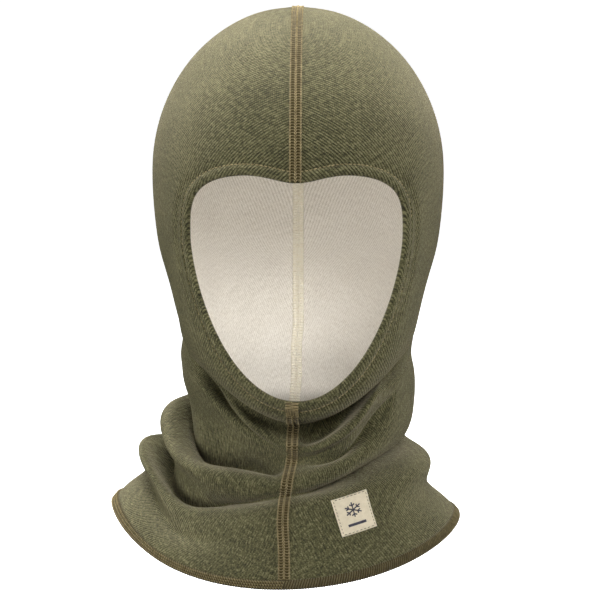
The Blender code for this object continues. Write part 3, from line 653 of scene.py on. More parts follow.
def knit_finish(name, gap, yarn, bright, contrast, sheen, tint, relief, beading):
    """Wool knit: gap, yarn and bright fibre colours, heathered along and across the wales; the dark
    gap colour is also painted shade.

    The relief is painted into the colour by a share that grows with the height of the place on
    the knit: painted shade in the valleys between the wales and painted highlight on their
    crests, strongest over the head and weakest at the hem."""
    finish, tree, shader = new_finish(name, 0.92, sheen, 0.45, tint)
    place, wales, courses = flat_coordinates(tree, WALE, COURSE)
    height = knit_height(tree, wales, courses, beading)
    along = feed(tree, "Mapping", place, None, None, (900, 420, 1))
    across = feed(tree, "Mapping", place, None, None, (60, 900, 1))
    dash = feed(tree, "TexNoise", along, None, 1, 2, 0.5)
    fleck = feed(tree, "TexNoise", place, None, 1500, 2, 0.6)
    bar = feed(tree, "TexNoise", across, None, 1, 2, 0.6)
    cloud = feed(tree, "TexNoise", place, None, 40, 3, 0.5)
    tone = calc(tree, "MULTIPLY_ADD", dash, 1.9, -0.95)
    tone = calc(tree, "ADD", tone, calc(tree, "MULTIPLY_ADD", fleck, 1.9, -0.95))
    tone = calc(tree, "ADD", tone, calc(tree, "MULTIPLY_ADD", bar, 0.8, -0.4))
    tone = calc(tree, "ADD", tone, calc(tree, "MULTIPLY_ADD", cloud, 0.5, -0.25))
    split = tree.nodes.new("ShaderNodeSeparateXYZ")
    tree.links.new(tree.nodes.new("ShaderNodeTexCoord").outputs["Object"], split.inputs[0])
    # Painted shade and highlight of the knit's relief, strongest over the head and weakest at the hem.
    relief_shade_strength = calc(tree, "MULTIPLY_ADD", split.outputs[2], 6, 2.1)
    relief_shade_strength = calc(tree, "MAXIMUM", calc(tree, "MINIMUM", relief_shade_strength, 1.4), 0.4)
    painted_relief_shade = calc(tree, "MULTIPLY", calc(tree, "MULTIPLY_ADD", height, 0.7, -0.35), relief_shade_strength)
    share = calc(tree, "ADD", calc(tree, "MULTIPLY_ADD", tone, contrast, 0.5), painted_relief_shade)
    ramp = tree.nodes.new("ShaderNodeValToRGB")
    tree.links.new(share, ramp.inputs[0])
    for stop, (position, shade) in zip((0, 1), ((0.0, gap), (0.62, yarn))):
        ramp.color_ramp.elements[stop].position = position
        ramp.color_ramp.elements[stop].color = linear(*shade)
    ramp.color_ramp.elements.new(1.0).color = linear(*bright)
    tree.links.new(ramp.outputs[0], shader.inputs["Base Color"])
    roughen(tree, shader, calc(tree, "MULTIPLY_ADD", fleck, 0.5, height), relief, 0.35 * MM)
    return finish


OUTER_WOOL = knit_finish("olive_wool_knit", (40, 39, 24), (88, 86, 57), (128, 123, 89), 0.95, 0.42,
                         linear(235, 222, 190), 0.8, 0.45)
INNER_WOOL = knit_finish("undyed_wool_knit", (208, 201, 189), (243, 238, 229), (253, 249, 242), 0.5, 0.1,
                         linear(250, 244, 232), 0.4, 0.85)


def dark_cloth_finish(name, dark, light):
    """Raw cloth edges seen between stitches: fuzz flecked at the scale of the fibres between a dark and a
    light colour.
    """
    finish, tree, shader = new_finish(name, 0.95, 0.2)
    place = tree.nodes.new("ShaderNodeTexCoord").outputs["Object"]
    fleck = feed(tree, "TexNoise", place, None, 1600, 3, 0.7)
    tree.links.new(blended(tree, fleck, linear(*dark), linear(*light)), shader.inputs["Base Color"])
    return finish


# Dark brown raw edge cloth of the seams and the hem: the fuzz of the raw edges, painted darker as painted
# shade in the gaps between the stitches.
SEAM_CLOTH_WITH_PAINTED_SHADE = dark_cloth_finish("raw_edge_cloth_painted_shade", (40, 34, 18), (88, 77, 46))

left_panel = panel("left_panel_cloth", 1)
right_panel = panel("right_panel_cloth", -1)
# The hem strip under the ribs takes the raw edge cloth with its painted shade.
for piece, node in ((left_panel, "left_panel"), (right_panel, "right_panel")):
    for finish in (OUTER_WOOL, INNER_WOOL, SEAM_CLOTH_WITH_PAINTED_SHADE, INNER_WOOL):
        piece.data.materials.append(finish)
    solid = piece.modifiers.new("cloth thickness", "SOLIDIFY")
    solid.thickness = CLOTH_THICKNESS
    solid.offset = -1
    solid.material_offset = 1
    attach(piece, "root")
    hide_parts(node)

# ---------------------------------------------------------------------------------------------
# Crown and back seam: one flatlock seam from the face opening over the crown to the hem. Tan
# cover thread lies on the raw edges of the cloth in three chains with rungs between them, and
# cream looper thread covers the same join inside.

STITCH_PITCH = 1.6 * MM
SEAM_HALF_WIDTH = 3.4 * MM
RAW_EDGE_RISE = 0.22 * MM
THREAD_RADIUS = 0.22 * MM
OUTER_BAND = EDGE_PROFILE[3:12][::-1]
OUTER_HEM = HEM_PROFILE[1:7][::-1]
OUTER_REACH, INNER_REACH = 0.3, 3
EASE_STEPS = 5
EDGES_START, EDGES_END = 0.6 * MM, 5 * MM
CROWN_COVER_START, COVER_END = 1.2 * MM, 6 * MM


def edge_run_at_seam(top):
    """Run at which the front seam meets the opening, at its top or at its chin."""
    part = (EDGE_OUTLINE[:, 1] > OPENING_CENTRE[1]) == top
    turn, run = (ring[part] for ring in edge_place(0))
    order = np.argsort(turn)
    return np.interp(0, turn[order], run[order])


TOP_RUN, CHIN_RUN = edge_run_at_seam(True), edge_run_at_seam(False)


def lengths_along(points):
    """Length of a line of points up to each of them."""
    return np.concatenate([[0], np.cumsum(np.linalg.norm(np.diff(points, axis=0), axis=1))])


class SeamLine:
    """Middle line of a seam on the cloth, with out, along and across directions at any length.

    The line goes through places given by turn and run. Outside it rises over the turned edge
    at the opening and over the hem, by the lift of their profiles at that distance. Inside it
    lies under the cloth by its thickness and a sink, with a running mean to ease its bends."""

    def __init__(self, turns, runs, inside=False, sink=0.3 * MM):
        points = worn_cloth(turns, runs)
        self.length = lengths_along(points)
        self.total = self.length[-1]
        out = facing(worn_cloth, turns, runs, INNER_REACH if inside else OUTER_REACH)
        if inside:
            points = points - (CLOTH_THICKNESS + sink) * out
            ease = np.ones(2 * EASE_STEPS + 1) / (2 * EASE_STEPS + 1)
            padded = np.pad(points, ((EASE_STEPS, EASE_STEPS), (0, 0)), mode="edge")
            points = np.stack([np.convolve(column, ease, mode="valid") for column in padded.T], axis=1)
        else:
            lift = np.interp(self.length, *OUTER_BAND.T, right=0)
            lift += np.interp(self.total - self.length, *OUTER_HEM.T, right=0)
            points = points + lift[:, None] * out
        self.keep(points, np.gradient(points, axis=0), -out if inside else out)

    def keep(self, points, along, out):
        """Stores points and unit directions: along the line, across it and square to both."""
        along /= np.linalg.norm(along, axis=1, keepdims=True)
        across = np.cross(along, out)
        across /= np.linalg.norm(across, axis=1, keepdims=True)
        self.table = np.concatenate([points, across, along, np.cross(across, along)], axis=1)

    def at(self, lengths):
        """Point and the three directions at lengths along the line."""
        values = [np.interp(lengths, self.length, column) for column in self.table.T]
        return np.moveaxis(np.array(values).reshape(4, 3, *np.shape(lengths)), 1, -1)

    def place(self, lengths, across, along, lift):
        """Points beside the line: middle + across, along and lift times the directions there."""
        point, side, ahead, out = self.at(lengths)
        return point + side * across[..., None] + ahead * along[..., None] + out * lift[..., None]


def thread_mesh(name, groups, sides=4):
    """Many short threads in one mesh. Each group is paths (count, rings, 3), the outward
    direction at each thread and the radius at each ring: a ring is path + r (cos a side + sin a up)."""
    points, quads, caps, marks, count = [], [], [], [], 0
    turn = np.arange(sides) * 2 * math.pi / sides
    for paths, out, radius in groups:
        along = np.gradient(paths, axis=1)
        along /= np.linalg.norm(along, axis=2, keepdims=True).clip(1e-12)
        side = np.cross(along, out[:, None])
        side /= np.linalg.norm(side, axis=2, keepdims=True).clip(1e-12)
        up = np.cross(side, along)
        ring = np.cos(turn)[:, None] * side[:, :, None] + np.sin(turn)[:, None] * up[:, :, None]
        points.append((paths[:, :, None] + radius[:, None, None] * ring).reshape(-1, 3))
        threads, rings = paths.shape[:2]
        k, i, j = np.meshgrid(np.arange(threads), np.arange(rings - 1), np.arange(sides), indexing="ij")
        first = count + (k * rings + i) * sides
        corner, beside = first + j, first + (j + 1) % sides
        quads.append(np.stack([corner, corner + sides, beside + sides, beside], axis=-1).reshape(-1, 4))
        ends = count + np.arange(threads)[:, None] * rings * sides + np.arange(sides)
        caps += [ends, (ends + (rings - 1) * sides)[:, ::-1]]
        step = np.linalg.norm(np.diff(paths, axis=1), axis=2)
        length = np.concatenate([np.zeros((threads, 1)), np.cumsum(step, axis=1)], axis=1)
        wound = np.broadcast_arrays(length[:, :, None], np.arange(sides) / sides)
        marks.append(np.stack(wound, axis=-1).reshape(-1, 2))
        count += threads * rings * sides
    faces = [*np.concatenate(quads).tolist(), *np.concatenate(caps).tolist()]
    piece = smooth_piece(name, np.concatenate(points), faces)
    corners = np.zeros(len(piece.data.loops), dtype=np.int32)
    piece.data.loops.foreach_get("vertex_index", corners)
    thread_map = piece.data.uv_layers.new(name="thread")
    thread_map.data.foreach_set("uv", np.concatenate(marks)[corners].ravel())
    return piece


def stitches(line, lengths, shape, radius=THREAD_RADIUS):
    """One stitch at each length; shape lists across, along and lift in millimetres."""
    across, along, lift = (np.array(shape) * MM).T
    grid = np.broadcast_to(lengths[:, None], (len(lengths), len(across)))
    paths = line.place(grid, *(np.broadcast_to(value, grid.shape) for value in (across, along, lift)))
    return paths, line.at(lengths)[3], np.full(len(across), radius)


def vee(middle, half=0.5):
    """Chain stitch: two legs that rise from the cloth and meet, as seen from above a long V."""
    return ((middle - half, 0.95, 0.05), (middle - 0.7 * half, 0.3, 0.4), (middle, -0.7, 0.5),
            (middle + 0.7 * half, 0.3, 0.4), (middle + half, 0.95, 0.05))


def rung(start, end, slant):
    """Cover thread from one chain to the next, arched over the cloth."""
    return (start, 0.5 * slant, 0.05), ((start + end) / 2, 0, 0.3), (end, -0.5 * slant, 0.05)


# Chains: middle, half width and thread radius in millimetres. Rungs: their ends and their slant.
COVER_CHAINS = ((-2.9, 0.35, 0.2), (0, 0.6, 0.27), (2.9, 0.35, 0.2))
COVER_RUNGS = ((-2.7, -0.5, 0.1), (0.5, 2.7, -0.1))
RUNG_RADIUS = 0.15 * MM


def cover_stitches(line, start, end):
    """All the cover thread of a seam between two lengths."""
    lengths = np.arange(start, end, STITCH_PITCH)
    chains = [stitches(line, lengths, vee(middle, half), radius * MM)
              for middle, half, radius in COVER_CHAINS]
    between = lengths + STITCH_PITCH / 2
    return chains + [stitches(line, between, rung(*ends), RUNG_RADIUS) for ends in COVER_RUNGS]


def ribbon_mesh(name, line, start, end, half_width, lift, sink=0.3 * MM, step=1.5 * MM):
    """Flat ribbon carried along a seam: a closed arch, lift (1 - (a / half)^4) above the cloth."""
    lengths = np.linspace(start, end, int((end - start) / step))
    across = np.concatenate([np.linspace(-1, 1, 9), np.linspace(0.9, -0.9, 4)])
    height = np.concatenate([lift * (1 - np.linspace(-1, 1, 9) ** 4), np.full(4, -sink)])
    grid = np.broadcast_to(lengths[:, None], (len(lengths), len(across)))
    wide = np.broadcast_to(half_width * across, grid.shape)
    points = line.place(grid, wide, np.zeros(grid.shape), np.broadcast_to(height, grid.shape))
    ring = len(across)
    i, j = np.meshgrid(np.arange(len(lengths) - 1), np.arange(ring), indexing="ij")
    corner, beside = i * ring + j, i * ring + (j + 1) % ring
    faces = np.stack([corner, beside, beside + ring, corner + ring], axis=-1).reshape(-1, 4).tolist()
    faces += [list(range(ring))[::-1], list(range((len(lengths) - 1) * ring, len(lengths) * ring))]
    return smooth_piece(name, points.reshape(-1, 3), faces)


def thread_finish(name, dark, light, sheen):
    """Spun thread: two plies wound together, as slanting stripes painted lighter on each ply and darker in the
    groove between as painted shade, and uneven dye in patches.
    """
    finish, tree, shader = new_finish(name, 0.75, sheen, 0.4)
    uv = tree.nodes.new("ShaderNodeUVMap")
    uv.uv_map = "thread"
    split = tree.nodes.new("ShaderNodeSeparateXYZ")
    tree.links.new(uv.outputs[0], split.inputs[0])
    twist = calc(tree, "MULTIPLY_ADD", split.outputs[0], 1 / (0.5 * MM), split.outputs[1])
    ply = calc(tree, "MULTIPLY_ADD", calc(tree, "SINE", calc(tree, "MULTIPLY", twist, 2 * math.pi)), 0.5, 0.5)
    place = tree.nodes.new("ShaderNodeTexCoord").outputs["Object"]
    patch = feed(tree, "TexNoise", place, None, 400, 2, 0.6)
    # Painted shade in the grooves between the plies, with the dye patches.
    share = calc(tree, "MULTIPLY_ADD", ply, 0.35, calc(tree, "MULTIPLY_ADD", patch, 1.6, -0.45))
    tree.links.new(blended(tree, share, linear(*dark), linear(*light)), shader.inputs["Base Color"])
    roughen(tree, shader, ply, 0.6, 0.1 * MM)
    return finish


HEM_THREAD = thread_finish("hem_cover_thread_finish", (62, 55, 31), (124, 112, 76), 0.15)
HEM_ROW_THREAD = thread_finish("hem_row_thread", (104, 92, 56), (172, 154, 108), 0.15)
# Tan thread painted darker than on the crown: painted shade on the neck and under the chin.
SHADED_TAN_THREAD = thread_finish("tan_thread_painted_shade", (112, 98, 62), (186, 168, 122), 0.15)
TAN_THREAD = thread_finish("tan_cover_thread", (112, 96, 60), (198, 180, 132), 0.1)
CREAM_THREAD = thread_finish("cream_looper_thread", (240, 230, 204), (254, 250, 238), 0.15)
CREAM_CLOTH = dark_cloth_finish("looper_ground", (238, 229, 206), (253, 249, 238))


def settle(piece, finish, slot, *nodes):
    """Gives a piece its finish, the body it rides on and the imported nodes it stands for."""
    piece.data.materials.append(finish)
    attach(piece, "root")
    if nodes:
        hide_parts(*nodes)
    return piece


crown_turns = np.concatenate([np.zeros(160), np.full(500, 180.0)])
crown_runs = np.concatenate([np.linspace(TOP_RUN, 0, 160, endpoint=False), np.linspace(0, HEM_RUN, 500)])
crown_line = SeamLine(crown_turns, crown_runs)
# The raw edges under the cover thread are painted darker as painted shade between the stitches.
settle(ribbon_mesh("crown_seam_edges", crown_line, EDGES_START, crown_line.total - EDGES_END,
                   SEAM_HALF_WIDTH, RAW_EDGE_RISE), SEAM_CLOTH_WITH_PAINTED_SHADE, "tan_thread")
crown_cover = cover_stitches(crown_line, CROWN_COVER_START, crown_line.total - COVER_END)
settle(thread_mesh("crown_seam_cover", crown_cover), TAN_THREAD, "tan_thread", "crown_seam_cover_thread")

LOOPER_RUNGS = ((-3.3, -0.9, 0.2), (0.9, 3.3, -0.2))
LOOPER_RUNG_RADIUS, LOOPER_RADIUS = 0.34 * MM, 0.3 * MM
INNER_START, INNER_END = 8 * MM, 7 * MM
TAPE_HALF_WIDTH, TAPE_RISE = 3.3 * MM, 0.12 * MM


def looper_stitches(line, start, end):
    """Looper thread inside a seam: two ladders of short ties with a chain between them."""
    lengths = np.arange(start, end, STITCH_PITCH)
    ladders = [stitches(line, lengths, rung(*ends), LOOPER_RUNG_RADIUS) for ends in LOOPER_RUNGS]
    return ladders + [stitches(line, lengths, vee(0, 0.6), LOOPER_RADIUS)]


crown_inner = SeamLine(crown_turns, crown_runs, inside=True)
crown_inner_end = crown_inner.total - INNER_END
settle(ribbon_mesh("crown_seam_tape", crown_inner, INNER_START, crown_inner_end, TAPE_HALF_WIDTH, TAPE_RISE),
       CREAM_CLOTH, "cream_thread")
settle(thread_mesh("crown_seam_looper", looper_stitches(crown_inner, INNER_START, crown_inner_end)),
       CREAM_THREAD, "cream_thread", "crown_seam_looper_thread")

# ---------------------------------------------------------------------------------------------
# Throat seam: the same flatlock from under the chin down the folds of the neck to the hem,
# with tan cover thread outside, painted darker as painted shade, and cream looper thread
# inside. The inner thread lies deeper, away from the tight folds.

THROAT_SINK = 2.2 * MM
THROAT_STEP = 0.8 * MM
THROAT_COVER_START = 9 * MM
throat_runs = np.linspace(CHIN_RUN, HEM_RUN, 400)
throat_line = SeamLine(np.zeros(400), throat_runs)
# The raw edges under the cover thread are painted darker as painted shade between the stitches.
settle(ribbon_mesh("throat_seam_edges", throat_line, EDGES_START, throat_line.total - EDGES_END,
                   SEAM_HALF_WIDTH, RAW_EDGE_RISE, step=THROAT_STEP), SEAM_CLOTH_WITH_PAINTED_SHADE, "tan_thread")
throat_cover = cover_stitches(throat_line, THROAT_COVER_START, throat_line.total - COVER_END)
settle(thread_mesh("throat_seam_cover", throat_cover), SHADED_TAN_THREAD, "tan_thread", "throat_seam_cover_thread")
throat_inner = SeamLine(np.zeros(400), throat_runs, inside=True, sink=THROAT_SINK)
throat_inner_end = throat_inner.total - INNER_END
settle(ribbon_mesh("throat_seam_tape", throat_inner, INNER_START, throat_inner_end, TAPE_HALF_WIDTH,
                   TAPE_RISE, step=THROAT_STEP), CREAM_CLOTH, "cream_thread")
settle(thread_mesh("throat_seam_looper", looper_stitches(throat_inner, INNER_START, throat_inner_end)),
       CREAM_THREAD, "cream_thread", "throat_seam_looper_thread")

# ---------------------------------------------------------------------------------------------
# Topstitch of the face opening: tan running stitches in a groove hold the turned edge down
# outside, and cream loops hold it inside.

TOPSTITCH_OUTSET = 6.3 * MM
TOPSTITCH_PITCH = 2.5 * MM


class EdgeLine(SeamLine):
    """The line of the topstitch, all round the opening at a fixed distance outside its edge."""

    def __init__(self, outset, lift, inside=False):
        turn, run = edge_place(outset)
        turn, run = (np.append(values, values[0]) for values in (turn, run))
        out = cloth_normal(turn, run)
        points = worn_cloth(turn, run) + lift * out
        self.length = lengths_along(points)
        self.total = self.length[-1]
        along = np.roll(points[:-1], -1, axis=0) - np.roll(points[:-1], 1, axis=0)
        self.keep(points, np.concatenate([along, along[:1]]), -out if inside else out)


def even_places(line, pitch):
    """Middles of equal lengths, each about a pitch, that fill a closed line."""
    steps = round(line.total / pitch)
    return np.arange(0.5, steps) * line.total / steps


RUNNING_STITCH = ((0, -0.85, -0.4), (0, -0.55, 0.12), (0, 0, 0.3), (0, 0.55, 0.12), (0, 0.85, -0.4))
TOPSTITCH_RADIUS = 0.26 * MM
GROOVE_FLOOR = -0.55 * MM
topstitch_line = EdgeLine(TOPSTITCH_OUTSET, GROOVE_FLOOR)
topstitch_places = even_places(topstitch_line, TOPSTITCH_PITCH)
topstitch = stitches(topstitch_line, topstitch_places, RUNNING_STITCH, TOPSTITCH_RADIUS)
settle(thread_mesh("face_edge_topstitch", [topstitch]), TAN_THREAD, "tan_thread", "face_edge_cover_thread")
LOOP_OUTSET = 5.3 * MM
LOOP_LIFT = -3.1 * MM
loop_line = EdgeLine(LOOP_OUTSET, LOOP_LIFT, inside=True)
settle(thread_mesh("face_edge_loops", [stitches(loop_line, even_places(loop_line, STITCH_PITCH), vee(0))]),
       CREAM_THREAD, "cream_thread", "face_edge_looper_thread")

# ---------------------------------------------------------------------------------------------
# Hem: the edge of the cape is folded in and overlocked. Ribs of brown thread lie side by side
# over the edge. On the wearer's right half three rows of lighter needle thread lie on the ribs.
# Cream loops hold the fold inside.

RIB_PITCH = 1.5 * MM
RIB_SLANT = 0.35
RIB_RADIUS = 0.36 * MM
RIB_RING = 98 * MM
PRESSED_PLACES = np.array((1.7, 3.5)) * MM
PRESSED_DEPTH, PRESSED_HALF_WIDTH, PRESSED_FADE = 0.45 * MM, 0.35 * MM, 6


def hem_turns(pitch, run=HEM_RUN):
    """Turns at even distances round a ring of the cloth."""
    turn = np.linspace(0, 360, 1441)
    points = worn_cloth(turn, np.full(1441, run))
    length = lengths_along(points)
    return np.interp(np.linspace(0, length[-1], round(length[-1] / pitch), endpoint=False), length, turn)


rib_turns = hem_turns(RIB_PITCH)
rib_distance = np.array((5.6, 5.0, 4.4, 3.8, 3.2, 2.6, 2.0, 1.4, 0.8, 0.3, 0.0, 0.1, 0.7, 1.5)) * MM
rib_lift = np.array((-0.35, 0.3, 0.65, 0.68, 0.7, 0.7, 0.7, 0.68, 0.55, 0.25, -0.45, -1.3, -2.25, -2.75)) * MM
pressed = np.exp(-((rib_distance[:, None] - PRESSED_PLACES) / PRESSED_HALF_WIDTH) ** 2).sum(axis=1)
pressed_share = 1 / (1 + np.exp((np.mod(rib_turns + 180, 360) - 180) / PRESSED_FADE))
rib_height = rib_lift - pressed_share[:, None] * PRESSED_DEPTH * pressed
slanted = rib_turns[:, None] + np.degrees(RIB_SLANT * rib_distance / RIB_RING)
ribs = lifted(slanted, np.broadcast_to(HEM_RUN - rib_distance, slanted.shape), rib_height)
rib_out = cloth_normal(rib_turns, np.full(rib_turns.shape, HEM_RUN))
rib_group = (ribs, rib_out, np.full(len(rib_lift), RIB_RADIUS))
settle(thread_mesh("hem_cover_ribs", [rib_group]), HEM_THREAD, "tan_thread", "hem_cover_thread")

ROW_FIRST_TURN = 170
ROW_DISTANCES = np.array((0.9, 2.6, 4.3)) * MM
ROW_SHIFTS = np.array((0, 0.3, 0.6))
ROW_STITCH_LENGTHS = np.array((-0.55, 0, 0.55)) * MM
ROW_STITCH_SLANT = np.array((0.12, 0, -0.12))
ROW_STITCH_LIFT = np.array((0.95, 1.15, 0.95)) * MM
ROW_THREAD_RADIUS = 0.24 * MM
row_turn, row_distance = np.broadcast_arrays(rib_turns[rib_turns > ROW_FIRST_TURN] + ROW_SHIFTS[:, None],
                                             ROW_DISTANCES[:, None])
row_turn, row_run = row_turn.ravel(), HEM_RUN - row_distance.ravel()
row_turns = row_turn[:, None] + ROW_STITCH_SLANT
row_lift = np.broadcast_to(ROW_STITCH_LIFT, row_turns.shape)
row_paths = lifted(row_turns, row_run[:, None] - ROW_STITCH_LENGTHS, row_lift)
row_group = (row_paths, cloth_normal(row_turn, row_run), np.full(3, ROW_THREAD_RADIUS))
settle(thread_mesh("hem_needle_rows", [row_group]), HEM_ROW_THREAD, "tan_thread")

HEM_LOOP_DISTANCE = np.array((5.2, 4.0, 3.0, 2.0)) * MM
HEM_LOOP_SWAY = np.array((0, 0.3, -0.3, 0))
HEM_LOOP_LIFT = np.array((-2.5, -2.85, -2.85, -2.5)) * MM
HEM_LOOP_RADIUS = 0.26 * MM
hem_loop_turn = hem_turns(STITCH_PITCH)
loop_turns = hem_loop_turn[:, None] + HEM_LOOP_SWAY
loops = lifted(loop_turns, np.broadcast_to(HEM_RUN - HEM_LOOP_DISTANCE, loop_turns.shape),
               np.broadcast_to(HEM_LOOP_LIFT, loop_turns.shape))
loop_in = -cloth_normal(hem_loop_turn, np.full(hem_loop_turn.shape, HEM_RUN))
settle(thread_mesh("hem_inner_loops", [(loops, loop_in, np.full(4, HEM_LOOP_RADIUS))]),
       CREAM_THREAD, "cream_thread", "hem_looper_thread")

# ---------------------------------------------------------------------------------------------
# Chin tack: the ends of the edge band and of the throat seam are locked at the chin by rows of
# tan thread laid across the band, then by a comb of upright threads under them. This tan thread
# is painted darker as painted shade under the chin.

# In millimetres, like the stitches.
TACK_HALF_WIDTH = 3.6
TACK_ROWS = (0.7, 1.4, 2.1, 2.8, 3.5)
TACK_LEAN = 0.25
TACK_RADIUS, COMB_RADIUS = 0.26, 0.24
COMB_PLACES = np.arange(-3.2, 3.3, 0.8)
COMB_START, COMB_END = 3.6, 9.2
COMB_LIFT = (0, 0.3, 0.35, 0.35, 0.35, 0.35, 0.3, 0)
COMB_SWAY, COMB_WAVES = 0.15, 900
tack_groups = []
for row, place in enumerate(TACK_ROWS):
    lean = TACK_LEAN if row % 2 else -TACK_LEAN
    bar = [(across, lean * across / TACK_HALF_WIDTH, 0.12 + 0.2 * (1 - (across / TACK_HALF_WIDTH) ** 4))
           for across in np.linspace(-TACK_HALF_WIDTH, TACK_HALF_WIDTH, 7)]
    tack_groups.append(stitches(throat_line, np.array([place * MM]), bar, TACK_RADIUS * MM))
comb_length = np.broadcast_to(np.linspace(COMB_START, COMB_END, 8) * MM, (len(COMB_PLACES), 8))
comb_wave = np.sin(COMB_WAVES * comb_length + COMB_PLACES[:, None])
comb_across = COMB_PLACES[:, None] * MM + COMB_SWAY * MM * comb_wave
comb_lift = np.broadcast_to(np.array(COMB_LIFT) * MM, comb_length.shape)
comb = throat_line.place(comb_length, comb_across, np.zeros(comb_length.shape), comb_lift)
tack_groups.append((comb, throat_line.at(comb_length[:, 4])[3], np.full(8, COMB_RADIUS * MM)))
settle(thread_mesh("chin_tack_threads", tack_groups), SHADED_TAN_THREAD, "tan_thread", "chin_tack")

# ---------------------------------------------------------------------------------------------
# Label: a small cream woven tape sewn flat on the cape by fine brown stitches round its edge,
# with a plain snow crystal and a bar woven in slate thread.

LABEL_SIZE = (20 * MM, 24.5 * MM)
LABEL_CENTRE = (30.8 * MM, (54.3 - SEAT_HEIGHT) * MM)
LABEL_TILT = math.radians(15)
LABEL_LIFT = 0.75 * MM
LABEL_FORESHORTENING = 0.80
LABEL_TURN, LABEL_RUN = 25.0, 0.338
LABEL_COLUMNS, LABEL_ROWS = 25, 31
TUCK_UNDER_LABEL = -0.6 * MM
TAPE_THICKNESS = 0.5 * MM
TAPE_EDGE_DROP, TAPE_EDGE_WIDTH = 0.35 * MM, 0.6 * MM


def on_label(across, up, lift):
    """Points of the label: across and up from its middle, turned by its tilt, then dropped on
    the smooth cloth and raised by the creases under it, where they stand proud, and a lift."""
    x = across * math.cos(LABEL_TILT) - up * math.sin(LABEL_TILT)
    z = across * math.sin(LABEL_TILT) + up * math.cos(LABEL_TILT)
    flat = np.stack([x.ravel(), z.ravel() * LABEL_FORESHORTENING], axis=1) + LABEL_CENTRE
    turn, run = find_on_front(flat)
    height = creased(turn, run)[0]
    rise = np.maximum(height, TUCK_UNDER_LABEL) + np.broadcast_to(lift, x.shape).ravel()
    return (smooth_cloth(turn, run) + rise[:, None] * facing(smooth_cloth, turn, run)).reshape(*x.shape, 3)


tape_across, tape_up = np.meshgrid(np.linspace(-0.5, 0.5, LABEL_COLUMNS) * LABEL_SIZE[0],
                                   np.linspace(0.5, -0.5, LABEL_ROWS) * LABEL_SIZE[1], indexing="ij")
from_edge = np.minimum(LABEL_SIZE[0] / 2 - np.abs(tape_across), LABEL_SIZE[1] / 2 - np.abs(tape_up))
tape_lift = LABEL_LIFT - TAPE_EDGE_DROP * np.exp(-from_edge / TAPE_EDGE_WIDTH)
label_points = on_label(tape_across, tape_up, tape_lift)
label_flat = np.stack([tape_across, tape_up], axis=-1).reshape(-1, 2)
label_faces = strip_faces(LABEL_COLUMNS, LABEL_ROWS)
label = cloth_mesh("label_tape", label_points.reshape(-1, 3), label_faces, label_flat)


def tape_finish(name, dark, light):
    """Woven tape: fine warp and weft, a chessboard of rounded crossings painted lighter than the dips between
    them as painted shade, slightly soiled.
    """
    finish, tree, shader = new_finish(name, 0.8, 0.15)
    place, warp, weft = flat_coordinates(tree, 0.5 * MM, 0.42 * MM)
    wave = calc(tree, "MULTIPLY", calc(tree, "SINE", calc(tree, "MULTIPLY", warp, 2 * math.pi)),
                calc(tree, "SINE", calc(tree, "MULTIPLY", weft, 2 * math.pi)))
    height = calc(tree, "MULTIPLY_ADD", wave, 0.5, 0.5)
    soil = feed(tree, "TexNoise", place, None, 300, 3, 0.6)
    # Painted shade of the weave's relief: crossings lighter, dips darker, with random soil.
    share = calc(tree, "MULTIPLY_ADD", height, 0.45, calc(tree, "MULTIPLY", soil, 0.9))
    tree.links.new(blended(tree, share, linear(*dark), linear(*light)), shader.inputs["Base Color"])
    roughen(tree, shader, height, 0.5, 0.12 * MM)
    return finish


settle(label, tape_finish("cream_tape", (196, 182, 152), (238, 226, 200)), "woven_label", "label")
solid = label.modifiers.new("tape thickness", "SOLIDIFY")
solid.thickness = TAPE_THICKNESS
solid.offset = -1

ARM_LENGTH = 4.8 * MM
BRANCH_PLACE, BRANCH_SHARE = 0.55, 0.34
CRYSTAL_UP = 2.6 * MM
BAR_UP = -6.6 * MM
BAR_HALF_WIDTH = 5 * MM
BAR_ROWS = np.array((-0.45, 0, 0.45)) * MM
MARK_RADIUS, LABEL_STITCH_RADIUS = 0.36 * MM, 0.17 * MM


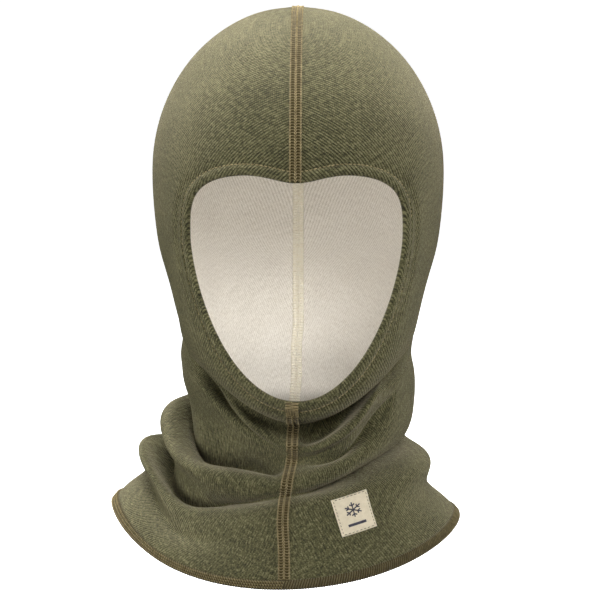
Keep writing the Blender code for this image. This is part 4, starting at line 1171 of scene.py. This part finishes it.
def woven_line(start, end, steps=7):
    """A straight float of thread on the label from one place to another."""
    share = np.linspace(0, 1, steps)[:, None]
    line = np.array(start) * (1 - share) + np.array(end) * share
    lift = LABEL_LIFT + 0.08 * MM * np.sin(math.pi * share[:, 0]) ** 0.5
    return on_label(line[:, 0], line[:, 1], lift)


crystal_middle = np.array((0, CRYSTAL_UP))
mark_lines = []
for angle in np.radians(np.arange(0, 360, 60) + 90):
    arm = np.array((math.cos(angle), math.sin(angle))) * ARM_LENGTH
    fork = crystal_middle + BRANCH_PLACE * arm
    mark_lines.append(woven_line(crystal_middle, crystal_middle + arm))
    for spread in (-1, 1):
        branch = np.array((math.cos(angle + spread), math.sin(angle + spread))) * BRANCH_SHARE * ARM_LENGTH
        mark_lines.append(woven_line(fork, fork + branch))
for row in BAR_ROWS:
    mark_lines.append(woven_line((-BAR_HALF_WIDTH, BAR_UP + row), (BAR_HALF_WIDTH, BAR_UP + row)))
label_out = facing(smooth_cloth, np.array([LABEL_TURN]), np.array([LABEL_RUN]))
mark_group = (np.array(mark_lines), np.repeat(label_out, len(mark_lines), axis=0), np.full(7, MARK_RADIUS))
SLATE_THREAD = thread_finish("slate_mark_thread", (46, 44, 54), (84, 82, 96), 0.1)
settle(thread_mesh("label_mark", [mark_group]), SLATE_THREAD, "woven_label")

LABEL_STITCH = 1.1 * MM
LABEL_STITCH_INSET = 1.0 * MM
FIRST_STITCH = 0.6 * MM
label_corners = np.array(((-1, 1), (-1, -1), (1, -1), (1, 1), (-1, 1)))
label_corners = label_corners * (np.array(LABEL_SIZE) / 2 - LABEL_STITCH_INSET)
side_lines = []
for start, end in zip(label_corners[:-1], label_corners[1:]):
    length = np.linalg.norm(end - start)
    ahead = (end - start) / length
    for place in np.arange(FIRST_STITCH, length - LABEL_STITCH, 2 * LABEL_STITCH):
        side_lines.append(woven_line(start + ahead * place, start + ahead * (place + LABEL_STITCH), 5))
side_out = np.repeat(label_out, len(side_lines), axis=0)
side_group = (np.array(side_lines), side_out, np.full(5, LABEL_STITCH_RADIUS))
settle(thread_mesh("label_edge_stitches", [side_group]), HEM_THREAD, "cream_thread", "label_stitch")
